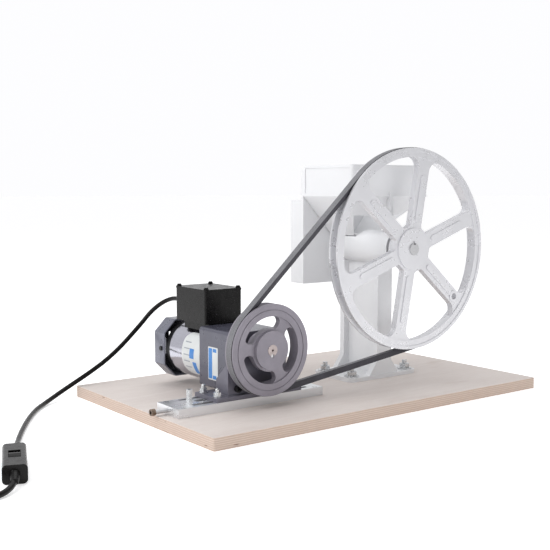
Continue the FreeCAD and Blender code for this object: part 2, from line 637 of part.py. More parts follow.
def make_sheave():
    profile = [
        ("drive_shaft+0.02", "0"), ("sheave_hub", "0"), ("sheave_hub", "5"), ("sheave_inner", "5"),
        ("sheave_inner", "3"), ("sheave_radius-9", "3"), ("sheave_radius-9", "4"),
        ("sheave_radius-7.8", "4"), ("sheave_radius-7.8", "3"), ("sheave_radius", "3"),
        *groove("sheave_radius", "3+rim_wide/2"),
        ("sheave_radius", "3+rim_wide"), ("sheave_inner", "3+rim_wide"),
        ("sheave_inner", "5+sheave_web"), ("sheave_hub-5", "5+sheave_web"),
        ("sheave_hub-5", "sheave_back-sheave_front"), ("drive_shaft+0.02", "sheave_back-sheave_front")]
    window = (size("sheave_inner"), size("sheave_hub") + 3, size("sheave_spoke"), 7.5, 6)
    at = ("sheave_x", "sheave_front", "sheave_z")
    blank = wheel("sheave_blank", profile, window, 3, at, -SHEAVE_TURN)
    keyway = box("sheave_keyway", ("sheave_x-2.4", "sheave_front-1", "sheave_z-10.3"), "4.8", "35", "6")
    screw_hole = rod("sheave_screw_hole", ("sheave_x", "sheave_back-5", "sheave_z+5"), "2.55", "22", "z")
    keep("drive_sheave", cut("drive_sheave_cut", blank, fuse("sheave_rooms", [keyway, screw_hole])))
    keep("sheave_key", box("sheave_key_bar", ("sheave_x-2.38", "sheave_front+1", "sheave_z-10.2"),
                           "4.76", "28", "4.7"))
    keep("sheave_set_screw", rod("sheave_set_screw_rod",
                                 ("sheave_x", "sheave_back-5", "sheave_z+drive_shaft"), "2.5", "9", "z"))


def belt_shape():
    """A V-belt drawn tight round both grooves."""
    big = size("wheel_radius") + size("belt_proud")
    small = size("sheave_radius") + size("belt_proud")
    middle_y = size("rim_front") + size("rim_wide") / 2
    mill = Vector(size("mill_x"), middle_y, size("axis_z"))
    motor = Vector(size("sheave_x"), middle_y, size("sheave_z"))
    reach = mill - motor
    lean = math.atan2(reach.z, reach.x)
    splay = math.asin((big - small) / reach.Length)

    def rim(centre, radius, angle):
        return centre + Vector(radius * math.cos(angle), 0, radius * math.sin(angle))

    upper = lean + math.pi / 2 + splay
    lower = lean - math.pi / 2 - splay
    mill_up, mill_down = rim(mill, big, upper), rim(mill, big, lower)
    motor_up, motor_down = rim(motor, small, upper), rim(motor, small, lower)
    route = Part.Wire([
        Part.LineSegment(mill_up, motor_up).toShape(),
        Part.Arc(motor_up, rim(motor, small, lean + math.pi), motor_down).toShape(),
        Part.LineSegment(motor_down, mill_down).toShape(),
        Part.Arc(mill_down, rim(mill, big, lean), mill_up).toShape()])
    out = Vector(math.cos(upper), 0, math.sin(upper))
    wide, narrow = size("belt_top") / 2, size("belt_low") / 2
    inner = mill_up - out * size("belt_high")
    side = Vector(0, 1, 0)
    corners = [mill_up - side * wide, mill_up + side * wide, inner + side * narrow, inner - side * narrow]
    outline = Part.makePolygon(corners + corners[:1])
    belt = route.makePipeShell([outline], True, False)
    print(f"belt outer length {route.Length:.1f} mm, volume ratio "
          f"{belt.Volume / (route.Length * (wide + narrow) * size('belt_high')):.3f}")
    return belt


# ---- slide rail and motor bracket ------------------------------------------------------------
CLAMP_X = ("sheave_x-bracket_wide/2+8.5", "sheave_x+bracket_wide/2-8.5")


def make_rail():
    bar = box("rail_bar", ("rail_left", "rail_front", "board_thick"), "rail_length", "rail_width", "rail_high")
    rooms = []
    for i, y in enumerate(("slot_front_y", "slot_back_y")):
        rooms.append(box(f"rail_slot_{i}", ("rail_left+30", f"{y}-slot_wide/2", "board_thick-1"),
                         "rail_length-51", "slot_wide", "rail_high+2"))
        rooms.append(box(f"rail_undercut_{i}", ("rail_left+30", f"{y}-6.5", "board_thick-1"),
                         "rail_length-51", "13", "6.8"))
    rooms.append(box("carriage_slot", ("rail_left+46", "screw_y-5.5", "board_thick-1"), "100", "11",
                     "rail_high+2"))
    rooms.append(rod("adjusting_bore", ("rail_left-1", "screw_y", "screw_z"), "3.05", "50", "x"))
    rooms.append(rod("anchor_hole", ("anchor_x", "screw_y", f"{RAIL_TOP}-2.8"), "2.5", "4", "z"))
    for i, (x, y) in enumerate(RAIL_SCREWS):
        rooms.append(rod(f"rail_screw_hole_{i}", (x, y, "board_thick-1"), "2.2", "20", "z"))
        rooms.append(cone(f"rail_screw_sink_{i}", (x, y, f"{RAIL_TOP}-2.4"), "2.2", "4.4", "2.41", "z"))
    keep("slide_rail", cut("slide_rail_cut", bar, fuse("rail_rooms", rooms)))
    screws = []
    for i, (x, y) in enumerate(RAIL_SCREWS):
        shank = rod(f"rail_screw_shank_{i}", (x, y, "3"), "2.05", f"{RAIL_TOP}-3-2.3", "z")
        head = cone(f"rail_screw_head_{i}", (x, y, f"{RAIL_TOP}-2.3"), "2.05", "4.15", "2.2", "z")
        screws.append(fuse(f"rail_screw_{i}", [shank, head]))
    keep("rail_screws", group("rail_screw_set", screws))
    post = hexagon("anchor_hex", ("anchor_x", "screw_y", RAIL_TOP), "4.8", "18")
    stem = rod("anchor_stem", ("anchor_x", "screw_y", f"{RAIL_TOP}-2.7"), "2.45", "3", "z")
    bore = rod("anchor_bore", ("anchor_x", "screw_y", f"{RAIL_TOP}+8"), "2.6", "12", "z")
    keep("anchor_post", cut("anchor_post_cut", fuse("anchor_blank", [post, stem]), bore))
    head = rod("adjuster_head", ("rail_left-25", "screw_y", "screw_z"), "4.8", "6", "x")
    drive = hexagon("adjuster_drive", ("rail_left-26", "screw_y", "screw_z"), "2.6", "3.5", "x")
    shank = rod("adjuster_shank", ("rail_left-19.5", "screw_y", "screw_z"), "3", "121", "x")
    keep("adjusting_screw", cut("adjusting_screw_cut", fuse("adjuster_blank", [head, shank]), drive))
    block = box("block_bar", ("sheave_x-bracket_wide/2+4", "screw_y-5", "board_thick+0.8"), "16", "10",
                "rail_high-0.8")
    thread = rod("block_thread", ("sheave_x-bracket_wide/2", "screw_y", "screw_z"), "3.06", "30", "x")
    keep("carriage_block", cut("carriage_block_cut", block, thread))


def make_bracket():
    base = box("bracket_base", ("sheave_x-bracket_wide/2", "base_front", RAIL_TOP), "bracket_wide",
               "base_deep", "bracket_thick")
    high = "(gear_z+gear_half-board_thick-rail_high)"
    shoulder = "(shoulder_z-board_thick-rail_high)"
    upright = prism("bracket_upright", "XZ_Plane", [
        ("0", "0"), ("2*upright_half", "0"), ("2*upright_half", shoulder),
        ("2*upright_half-26", high), ("26", high), ("0", shoulder)],
        "upright_thick", ("sheave_x-upright_half", "bracket_front", RAIL_TOP))
    gussets = []
    for i, x in enumerate(("sheave_x-upright_half", "sheave_x+upright_half-5.5")):
        gussets.append(prism(f"bracket_gusset_{i}", "YZ_Plane", [
            ("0", "0"), ("30", "0"), ("30", f"{shoulder}-22"), ("upright_thick", shoulder),
            ("0", shoulder)], "5.5", (x, "bracket_front", RAIL_TOP)))
    solid = fuse("bracket_solid", [base, upright, *gussets])
    rooms = [rod("bracket_boss_hole", ("sheave_x", "bracket_front-1", "sheave_z"), "17.3", "8")]
    for i, sx in enumerate((-1, 1)):
        rooms.append(rod(f"bracket_screw_hole_{i}", (f"sheave_x+({sx})*screw_pitch", "bracket_front-1",
                                                     "gear_z-screw_pitch"), "2.8", "8"))
    for i, (x, y) in enumerate(clamp_places()):
        rooms.append(rod(f"bracket_clamp_hole_{i}", (x, y, f"{RAIL_TOP}-1"), "3.3", "10", "z"))
    keep("motor_bracket", cut("motor_bracket_cut", solid, fuse("bracket_rooms", rooms)))
    top = f"{RAIL_TOP}+bracket_thick"
    bolts = []
    nuts = []
    for i, (x, y) in enumerate(clamp_places()):
        plate = ring(f"clamp_washer_{i}", (x, y, top), "6.5", "3.1", "1.2", "z")
        head = hexagon(f"clamp_head_{i}", (x, y, f"{top}+1.2"), "5.7", "5.2")
        shank = rod(f"clamp_shank_{i}", (x, y, "board_thick+1"), "3", f"{top}-board_thick+9.5", "z")
        tip = cone(f"clamp_tip_{i}", (x, y, f"{top}+10.5"), "3", "1.6", "1.8", "z")
        bolts.append(fuse(f"clamp_bolt_{i}", [plate, head, shank, tip]))
        nut = box(f"clamp_nut_bar_{i}", (f"{x}-6", f"{y}-6", "board_thick+0.8"), "12", "12", "4.8")
        bore = rod(f"clamp_nut_bore_{i}", (x, y, "board_thick"), "3.05", "8", "z")
        nuts.append(cut(f"clamp_nut_{i}", nut, bore))
    keep("clamp_bolts", group("clamp_bolt_set", bolts))
    keep("clamp_nuts", group("clamp_nut_set", nuts))


def clamp_places():
    return [(x, y) for x in CLAMP_X for y in ("slot_front_y", "slot_back_y")]


# ---- gear motor ------------------------------------------------------------------------------
def on_motor(dx, y, dz):
    return (f"sheave_x+({dx})", y, f"motor_z+({dz})")


def on_gear(dx, y, dz):
    return (f"sheave_x+({dx})", y, f"gear_z+({dz})")


def square_block(name, y, long, half, middle, corner, kind="Part::Fillet"):
    """A square block round a level line at a height, with rounded or chamfered long edges."""
    blank = box(name + "_blank", (f"sheave_x-({half})", y, f"{middle}-({half})"), f"2*({half})", long,
                f"2*({half})")
    return round_edges(name, blank, corner, runs_along(Vector(0, 1, 0)), kind)


def make_gearhead():
    body = square_block("gearhead_block", "gear_front", "gear_long", "gear_half", "gear_z",
                        size("gear_corner"))
    pilot = rod("gearhead_pilot", ("sheave_x", "gear_front-5", "sheave_z"), "17", "8")
    room_box = box("gear_room_box", on_gear(-38, "gear_front+10", -38), "76", "gear_long", "76")
    room = document.addObject("Part::MultiCommon", "gear_room")
    room.Shapes = [room_box, rod("gear_room_round", on_gear(0, "gear_front+10", 0), "46", "gear_long")]
    boss = rod("output_boss", ("sheave_x", "gear_front+5", "sheave_z"), "19", "30")
    boss_two = rod("counter_boss", on_motor("counter_x", "gear_front+5", "counter_z"), "8", "14")
    hollow = cut("gearhead_hollow", fuse("gearhead_solid", [body, pilot]), room)
    solid = fuse("gearhead_with_bosses", [hollow, boss, boss_two])
    rooms = [rod("output_bore", ("sheave_x", "gear_front-6", "sheave_z"), "drive_shaft+1", "50"),
             rod("output_seat_front", ("sheave_x", "gear_front+1", "sheave_z"), "15.02", "9.01"),
             rod("output_seat_back", ("sheave_x", "gear_front+26", "sheave_z"), "15.02", "10"),
             rod("counter_bore", on_motor("counter_x", "gear_front+8", "counter_z"), "4.04", "30")]
    for i, (sx, sz) in enumerate(((-1, -1), (1, -1), (-1, 1), (1, 1))):
        rooms.append(rod(f"gearhead_screw_hole_{i}",
                         on_gear(f"({sx})*screw_pitch", "gear_front-1", f"({sz})*screw_pitch"), "2.65",
                         "gear_long+2"))
    keep("gearhead_housing", cut("gearhead_housing_cut", solid, fuse("gearhead_rooms", rooms)))
    screws = []
    for i, (sx, sz) in enumerate(((-1, -1), (1, -1), (-1, 1), (1, 1))):
        start = "bracket_front" if sz < 0 else "gear_front"
        spot = (f"({sx})*screw_pitch", f"({sz})*screw_pitch")
        head = rod(f"gear_screw_head_{i}", on_gear(spot[0], f"{start}-5", spot[1]), "5", "5")
        drive = hexagon(f"gear_screw_drive_{i}", on_gear(spot[0], f"{start}-6", spot[1]), "2.4", "3.5", "y")
        shank = rod(f"gear_screw_shank_{i}", on_gear(spot[0], f"{start}-1", spot[1]), "2.5",
                    f"gear_front+gear_long+flange_thick-{start}")
        screws.append(cut(f"gear_screw_{i}", fuse(f"gear_screw_blank_{i}", [head, shank]), drive))
    keep("gearhead_screws", group("gearhead_screw_set", screws))
    shaft = rod("output_shaft_rod", ("sheave_x", "sheave_front-0.5", "sheave_z"), "drive_shaft",
                "gear_front+52-sheave_front")
    centre_hole = rod("output_centre", ("sheave_x", "sheave_front-1", "sheave_z"), "1.6", "6")
    keyway = box("output_keyway", ("sheave_x-2.4", "sheave_front-1", "sheave_z-10.2"), "4.8", "31", "4.7")
    keep("output_shaft", cut("output_shaft_cut", shaft, fuse("output_rooms", [centre_hole, keyway])))
    keep("output_gear", ring("output_gear_disc", ("sheave_x", "gear_front+40", "sheave_z"),
                             "gear_two-0.25", "drive_shaft", "9"))
    keep("output_bearings", group("output_bearing_set", [
        ring("output_bearing_0", ("sheave_x", "gear_front+1", "sheave_z"), "15", "drive_shaft+0.03", "9"),
        ring("output_bearing_1", ("sheave_x", "gear_front+26", "sheave_z"), "15", "drive_shaft+0.03", "9")]))
    counter_end = "gear_front+gear_long"
    counter = [
        rod("counter_axle", on_motor("counter_x", "gear_front+10.5", "counter_z"), "4",
            f"{counter_end}+2-gear_front-10.5"),
        rod("counter_pinion", on_motor("counter_x", "gear_front+39", "counter_z"), "pinion_two-0.25", "20"),
        rod("counter_gear", on_motor("counter_x", f"{counter_end}-13", "counter_z"), "gear_one-0.25", "8")]
    keep("countershaft", fuse("countershaft_solid", counter))


def make_motor():
    flange_y = "gear_front+gear_long"
    barrel_y = f"{flange_y}+flange_thick"
    shield_y = f"{barrel_y}+barrel_long"
    cap_y = f"{shield_y}+shield_thick"
    flange = fuse("flange_solid", [
        square_block("flange_block", flange_y, "flange_thick", "gear_half", "gear_z", size("gear_corner")),
        rod("flange_disc", on_motor(0, flange_y, 0), "barrel_radius", "flange_thick"),
        rod("flange_hub", on_motor(0, f"{flange_y}+2", 0), "17", "12")])
    rooms = [rod("flange_bearing_seat", on_motor(0, f"{flange_y}+2", 0), "13.02", "13"),
             rod("flange_shaft_hole", on_motor(0, f"{flange_y}-1", 0), "7", "5"),
             rod("flange_counter_hole", on_motor("counter_x", f"{flange_y}-1", "counter_z"), "4.04", "4")]
    for i, (sx, sz) in enumerate(((-1, -1), (1, -1), (-1, 1), (1, 1))):
        rooms.append(rod(f"flange_screw_hole_{i}",
                         on_gear(f"({sx})*screw_pitch", f"{flange_y}-1", f"({sz})*screw_pitch"), "2.55", "10"))
    keep("motor_flange", cut("motor_flange_cut", flange, fuse("flange_rooms", rooms)))
    keep("motor_barrel", ring("motor_barrel_tube", on_motor(0, barrel_y, 0), "barrel_radius",
                              "barrel_radius-barrel_wall", "barrel_long"))
    core = rod("stator_core", on_motor(0, f"{barrel_y}+18", 0), "barrel_radius-barrel_wall-0.05", "55")
    coils = rod("stator_coils", on_motor(0, f"{barrel_y}+9", 0), "37", "73")
    inner = rod("stator_bore", on_motor(0, f"{barrel_y}", 0), "24.6", "92")
    keep("stator", cut("stator_cut", fuse("stator_solid", [core, coils]), inner))
    rotor = [rod("rotor_core", on_motor(0, f"{barrel_y}+18", 0), "24.2", "55"),
             rod("rotor_shaft", on_motor(0, f"{flange_y}+1", 0), "6", "flange_thick+barrel_long+30"),
             rod("rotor_pinion", on_motor(0, f"{flange_y}-14", 0), "pinion_one-0.25", "16")]
    keep("rotor", fuse("rotor_solid", rotor))
    keep("rotor_bearings", group("rotor_bearing_set", [
        ring("rotor_bearing_0", on_motor(0, f"{flange_y}+2", 0), "13", "6.03", "8"),
        ring("rotor_bearing_1", on_motor(0, f"{shield_y}-5", 0), "13", "6.03", "8")]))
    shield = fuse("shield_solid", [rod("shield_disc", on_motor(0, shield_y, 0), "barrel_radius-0.5",
                                       "shield_thick"),
                                   rod("shield_hub", on_motor(0, f"{shield_y}-8", 0), "17", "10")])
    keep("motor_rear_shield", cut("motor_rear_shield_cut", shield, fuse("shield_rooms", [
        rod("shield_seat", on_motor(0, f"{shield_y}-9", 0), "13.02", "12.01"),
        rod("shield_hole", on_motor(0, shield_y, 0), "7", "shield_thick+2")])))
    cap = square_block("cap_block", cap_y, "cap_long", "cap_half", "motor_z", size("cap_corner"),
                       "Part::Chamfer")
    hollow = square_block("cap_room", f"{cap_y}-1", "cap_long-2", "cap_half-3", "motor_z",
                          size("cap_corner") - 1.5, "Part::Chamfer")
    vents = [box(f"cap_vent_{i}", (f"sheave_x+({dx})-1.6", f"{cap_y}+cap_long-5", f"motor_z-({half})"),
                 "3.2", "8", f"2*({half})")
             for i, (dx, half) in enumerate(((-27, 14), (-18, 22), (-9, 26), (0, 27), (9, 26), (18, 22),
                                             (27, 14)))]
    side_holes = rod("cap_side_hole", on_motor("-cap_half-1", f"{cap_y}+9", 0), "2.1",
                     "2*cap_half+2", "x")
    keep("motor_end_cap", cut("motor_end_cap_cut", cap, fuse("cap_rooms", [hollow, *vents, side_holes])))
    screws = []
    for i, (side, head_x, shank_x) in enumerate((("left", "-cap_half-2", "-cap_half-1"),
                                                 ("right", "cap_half", "cap_half-4"))):
        head = rod(f"cap_screw_head_{side}", on_motor(head_x, f"{cap_y}+9", 0), "3.6", "2", "x")
        shank = rod(f"cap_screw_shank_{side}", on_motor(shank_x, f"{cap_y}+9", 0), "2", "5", "x")
        screws.append(fuse(f"cap_screw_{i}", [head, shank]))
    keep("end_cap_screws", group("end_cap_screw_set", screws))
    fan_y = f"{cap_y}+5"
    hub = rod("fan_hub", on_motor(0, fan_y, 0), "11", "14")
    blades = []
    for i in range(7):
        angle = 2 * math.pi * i / 7
        blade = box(f"fan_blade_{i}", on_motor(0, fan_y, 0), "34", "14", "2")
        blade.Placement = Placement(Vector(0, 0, 0), Rotation(Vector(0, 1, 0), -math.degrees(angle)))
        blades.append(blade)
    bore = rod("fan_bore", on_motor(0, f"{fan_y}-1", 0), "6", "16")
    keep("cooling_fan", cut("cooling_fan_cut", fuse("fan_solid", [hub, *blades]), bore))


def make_terminal_box():
    left = "sheave_x-box_wide/2"
    tub = box("box_tub", (left, "box_front", "box_low"), "box_wide", "box_long", "box_high")
    neck = box("box_neck", ("sheave_x-23", "box_front+6", "box_low-14"), "46", "box_long-16", "15")
    solid = round_edges("box_outside", tub, 3, runs_along(Vector(0, 0, 1)))
    room = box("box_room", (f"{left}+box_wall", "box_front+box_wall", "box_low+4"), "box_wide-2*box_wall",
               "box_long-2*box_wall", "box_high")
    saddle = rod("box_saddle", on_motor(0, "box_front-2", 0), "barrel_radius+0.05", "box_long+4")
    wire_hole = rod("box_wire_hole", ("gland_x", "box_front+box_long-4", "gland_z"), "5.05", "6")
    rooms = [room, saddle, wire_hole]
    keep("terminal_box", cut("terminal_box_cut", fuse("box_solid", [solid, neck]), fuse("box_rooms", rooms)))
    top = "box_low+box_high"
    lid_blank = box("lid_blank", (f"{left}-0.6", "box_front-0.6", top), "box_wide+1.2", "box_long+1.2", "3")
    lid_plate = round_edges("lid_plate", lid_blank, 3.5, runs_along(Vector(0, 0, 1)))
    centre = ("sheave_x", "box_front+box_long/2")
    bosses = four("lid_boss", lambda name, x, y: rod(name, (x, y, top), "3.8", "4.8", "z"), centre,
                  "(box_wide-8)", "(box_long-8)")
    drills = four("lid_drill", lambda name, x, y: rod(name, (x, y, f"{top}-1"), "1.8", "8", "z"), centre,
                  "(box_wide-8)", "(box_long-8)")
    keep("terminal_box_lid", cut("terminal_box_lid_cut", fuse("lid_solid", [lid_plate, *bosses]),
                                 fuse("lid_rooms", drills)))

    def lid_screw(name, x, y):
        head = rod(name + "_head", (x, y, f"{top}+4.8"), "2.9", "1.4", "z")
        return fuse(name, [head, rod(name + "_shank", (x, y, f"{top}-2"), "1.75", "8", "z")])

    keep("lid_screws", group("lid_screw_set", four("lid_screw", lid_screw, centre, "(box_wide-8)",
                                                   "(box_long-8)")))
    keep("run_capacitor", rod("capacitor_can", ("sheave_x+10", "box_front+12", "box_low+21"), "16", "60"))
    exit_y = "box_front+box_long"
    keep("cord_gland", fuse("cord_gland_solid", [
        rod("gland_thread", ("gland_x", f"{exit_y}-3", "gland_z"), "5", "4"),
        rod("gland_collar", ("gland_x", exit_y, "gland_z"), "8", "4"),
        cone("gland_sleeve", ("gland_x", f"{exit_y}+3.9", "gland_z"), "6.2", "4.3", "gland_long-3.9")]))


# ---- mains cord, switch and plug -------------------------------------------------------------
SWITCH_START = (-524, -86)
SWITCH_HEADING = (-0.36, -0.933)
CORD_HALF = 3.5

# from the gland over the board's left edge, down to the floor and up to the switch
CORD_ROUTE = [
    (-172, 116.5, 151), (-172, 129.5, 151), (-174.6, 143.9, 147.8), (-179.6, 156.6, 141.6),
    (-186.6, 166.6, 132.9), (-195, 173.2, 122.4), (-204.9, 176, 110.1), (-223.5, 177, 92.2),
    (-244.5, 179, 72.3), (-267.3, 182, 54.1), (-290, 185, 39.6), (-311.9, 187.5, 27.3),
    (-336.8, 186, 15.5), (-359, 178, 7.5), (-381.9, 160, 3.6), (-403, 136, 3.6), (-423, 107, 3.6),
    (-441, 78, 3.6), (-457, 50, 3.6), (-473, 21, 3.6), (-488, -8, 3.6), (-502, -37, 4.5),
    (-514, -62, 8.3), (-524, -86, 11),
]
# from the switch to the coil, outside the left edge
TAIL_ROUTE = [
    (-557.1, -171.8, 11), (-562.8, -186, 9), (-572.3, -198.5, 5.4), (-586.5, -208, 3.7),
    (-604, -212.8, 3.7), (-621, -213.8, 3.7), (-636, -213.4, 3.7),
]
# from the coil to the plug
PLUG_ROUTE = [(-689, -166, 3.7), (-689, -150, 3.7), (-688, -133, 4.2), (-684, -116, 7.5),
              (-677, -100, 12.5)]
COIL_CENTRE = (-644, -168)
PLUG_HEADING = (0.376, 0.926)


def tube_along(name, points, diameter):
    """A round tube whose straight runs are joined by the largest tangent arcs that fit."""
    corners = [Vector(*p) for p in points]
    edges = []
    radii = []
    start = corners[0]
    for before, here, after in zip(corners, corners[1:], corners[2:]):
        arriving, leaving = here - before, after - here
        turn = arriving.getAngle(leaving)
        back = 0.45 * min(arriving.Length, leaving.Length)
        radius = back / math.tan(turn / 2)
        radii.append(radius)
        arriving.normalize()
        leaving.normalize()
        enter, leave = here - arriving * back, here + leaving * back
        inward = (leaving - arriving).normalize()
        centre = here + inward * (radius / math.cos(turn / 2))
        middle = centre - inward * radius
        edges.append(Part.LineSegment(start, enter).toShape())
        edges.append(Part.Arc(enter, middle, leave).toShape())
        start = leave
    edges.append(Part.LineSegment(start, corners[-1]).toShape())
    route = Part.Wire(edges)
    face = Part.Circle(corners[0], corners[1] - corners[0], diameter / 2).toShape()
    tube = route.makePipeShell([Part.Wire([face])], True, False)
    expected = math.pi * diameter ** 2 / 4 * route.Length
    print(f"{name}: length {route.Length:.0f} mm, radii", [round(r) for r in radii],
          f"volume ratio {tube.Volume / expected:.3f}")
    return tube


def lying_block(length, width, height, start, heading, low, corner):
    """A rounded block lying on the floor, from a start point along a heading."""
    shape = Part.makeBox(length, width, height, Vector(0, -width / 2, low))
    edges = [e for e in shape.Edges if runs_along(Vector(1, 0, 0))(e)]
    shape = shape.makeFillet(corner, edges)
    turn = math.degrees(math.atan2(heading[1], heading[0]))
    shape.Placement = Placement(Vector(*start, 0), Rotation(Vector(0, 0, 1), turn))
    return shape


def make_cord():
    diameter = size("cord_size")
    keep_shape("mains_cord", tube_along("mains_cord", CORD_ROUTE, diameter))
    long, wide, high = size("switch_long"), size("switch_wide"), size("switch_high")
    body = lying_block(long, wide, high, SWITCH_START, SWITCH_HEADING, 0, 5)
    turn = math.degrees(math.atan2(SWITCH_HEADING[1], SWITCH_HEADING[0]))
    frame = Placement(Vector(*SWITCH_START, 0), Rotation(Vector(0, 0, 1), turn))
    well = Part.makeBox(30, 14, 12, Vector(long / 2 - 15, -7, high - 9))
    well.Placement = frame
    pivot = Part.makeCylinder(1.6, 20, Vector(long / 2, -10, high - 3.5), Vector(0, 1, 0))
    pivot.Placement = frame
    keep_shape("switch_body", body.cut(well).cut(pivot))
    lever = Part.makeCylinder(13.4, 13.2, Vector(long / 2, -6.6, high - 12.6), Vector(0, 1, 0))
    lever = lever.common(Part.makeBox(26, 13.2, 12, Vector(long / 2 - 13, -6.6, high - 5.5)))
    pin = Part.makeCylinder(1.53, 19, Vector(long / 2, -9.5, high - 3.5), Vector(0, 1, 0))
    rocker = lever.fuse(pin)
    rocker.Placement = frame
    keep_shape("switch_rocker", rocker)
    tail = tube_along("cord tail", TAIL_ROUTE, diameter)
    plug_lead = tube_along("plug lead", PLUG_ROUTE, diameter)
    keep_shape("mains_cord_tail", Part.makeCompound([tail, plug_lead]))
    mean = size("coil_mean")
    coil = Part.makeCylinder(mean + 1.5 * diameter, 2 * diameter + 0.2).cut(
        Part.makeCylinder(mean - 1.5 * diameter, 2 * diameter + 0.2))
    coil = coil.makeFillet(3, [e for e in coil.Edges if isinstance(e.Curve, Part.Circle)])
    coil.Placement = Placement(Vector(*COIL_CENTRE, 0.1), Rotation())
    keep_shape("cord_coil", coil)
    start = PLUG_ROUTE[-1][:2]
    keep_shape("plug_body", lying_block(38, 25, 25, start, PLUG_HEADING, 0, 4))
    turn = math.degrees(math.atan2(PLUG_HEADING[1], PLUG_HEADING[0]))
    frame = Placement(Vector(*start, 0), Rotation(Vector(0, 0, 1), turn))
    pins = [Part.makeBox(16, 1.5, 6.3, Vector(38, side * 6.35 - 0.75, 12.5)) for side in (-1, 1)]
    pins.append(Part.makeCylinder(2.4, 19, Vector(38, 0, 7.5), Vector(1, 0, 0)))
    for pin_shape in pins:
        pin_shape.Placement = frame
    keep_shape("plug_pins", Part.makeCompound(pins))


# ---- build, check and write ------------------------------------------------------------------
make_board()
make_housing()
make_mill_fixings()
make_shaft_line()
make_burrs()
make_guard()
make_flywheel()
make_sheave()
keep_shape("drive_belt", belt_shape())
make_rail()
make_bracket()
make_gearhead()
make_motor()
make_terminal_box()
make_cord()
document.recompute()

broken = [item.Name for item in document.Objects if {"Invalid", "Error"} & set(item.State)]
broken += [item.Label for item in sub_parts if item.Shape.isNull() or not item.Shape.isValid()]
if broken:
    raise RuntimeError(f"failed objects: {broken}")
os.makedirs("parts", exist_ok=True)
for item in sub_parts:
    item.Shape.exportStep(f"parts/{item.Label}.step")
print(len(sub_parts), "sub-parts written")
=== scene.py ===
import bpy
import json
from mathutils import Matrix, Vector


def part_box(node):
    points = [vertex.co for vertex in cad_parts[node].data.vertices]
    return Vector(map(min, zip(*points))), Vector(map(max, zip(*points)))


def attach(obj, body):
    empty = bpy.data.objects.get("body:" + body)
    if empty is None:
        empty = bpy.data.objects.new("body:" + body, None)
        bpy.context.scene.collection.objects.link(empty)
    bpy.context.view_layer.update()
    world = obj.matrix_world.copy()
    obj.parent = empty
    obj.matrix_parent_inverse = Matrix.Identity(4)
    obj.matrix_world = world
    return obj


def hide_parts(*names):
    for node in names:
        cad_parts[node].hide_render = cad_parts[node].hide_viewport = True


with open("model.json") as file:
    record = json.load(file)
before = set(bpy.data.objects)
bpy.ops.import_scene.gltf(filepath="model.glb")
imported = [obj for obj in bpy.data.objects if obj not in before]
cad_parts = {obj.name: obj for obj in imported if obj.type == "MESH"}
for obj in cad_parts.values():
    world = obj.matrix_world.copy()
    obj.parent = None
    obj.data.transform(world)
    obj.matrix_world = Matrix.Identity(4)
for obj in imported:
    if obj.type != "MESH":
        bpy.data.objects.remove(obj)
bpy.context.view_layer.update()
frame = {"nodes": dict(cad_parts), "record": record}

import json
import math

import bpy
from mathutils import Vector

MM = 0.001
scene = bpy.context.scene

# ---- camera and studio -----------------------------------------------------------------------
CAMERA_PLACE = (-0.9346, -1.1484, 0.3232)
CAMERA_DOWN, CAMERA_TURN = 4.87, -36.96  # degrees below level, and round from +Y
CAMERA_LENS, SENSOR_WIDTH = 61.41, 36
CAMERA_SHIFT_Y = -0.0107
# brightness of the room on its -Y and +Y sides, of the backdrop, and of the floor's own glow
ROOM_FRONT, ROOM_BACK = 0.32, 0.9
BACKDROP = 1.0
FLOOR_GLOW = 0.42
FLOOR_SIZE = 80
FLOOR_DROP = 0.0004
LIGHTS = (  # name, place, what it aims at, size and power
    ("key", (-1.9, -0.1, 1.35), (-0.05, 0, 0.1), (1.5, 1.2), 21),
    ("fill", (0.5, -2.1, 1.0), (0, 0, 0.15), (1.4, 1.4), 7),
    ("top", (0.1, 0.3, 2.1), (0, 0, 0.1), (1.8, 1.8), 14),
)

# ---- sizes for the materials, in metres ------------------------------------------------------
PLY = 0.0028  # the plywood's repeat, one pale and one dark ply
SCREW_PITCH = 0.001
SCREW_HEAD = 6.2 * MM
WELD_DISTANCE = 0.000002
EASE_USUAL = 0.25  # width of an eased edge in mm, where EASE gives no other
EASE = {"plywood_base": 0.7, "mill_housing": 0.7, "flywheel": 0.25, "drive_sheave": 0.7,
        "gearhead_housing": 0.7, "terminal_box": 0.7, "terminal_box_lid": 0.8, "motor_bracket": 0.5,
        "slide_rail": 0.4, "motor_end_cap": 1.6, "flour_guard": 0.5, "motor_flange": 0.4,
        "switch_body": 3.2, "plug_body": 1.5, "adjusting_knob": 1.2}
EASE_ANGLE = 38  # edges sharper than this many degrees are eased


# ---- places, worked out from the frame -------------------------------------------------------
def middle(node):
    low, high = (Vector(corner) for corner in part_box(node))
    return (low + high) / 2


BARREL_LOW, BARREL_HIGH = (Vector(corner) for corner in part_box("motor_barrel"))
BARREL = middle("motor_barrel")
BARREL_RADIUS = (BARREL_HIGH.z - BARREL_LOW.z) / 2 / MM
GEARHEAD_LOW = Vector(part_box("gearhead_housing")[0])


# ---- camera, floor and light -----------------------------------------------------------------
def make_camera():
    data = bpy.data.cameras.new("camera")
    camera = bpy.data.objects.new("camera", data)
    scene.collection.objects.link(camera)
    camera.location = CAMERA_PLACE
    camera.rotation_euler = (math.radians(90 - CAMERA_DOWN), 0, math.radians(CAMERA_TURN))
    data.lens = CAMERA_LENS
    data.sensor_width = SENSOR_WIDTH
    data.shift_y = CAMERA_SHIFT_Y
    data.clip_start, data.clip_end = 0.05, 50
    scene.camera = camera


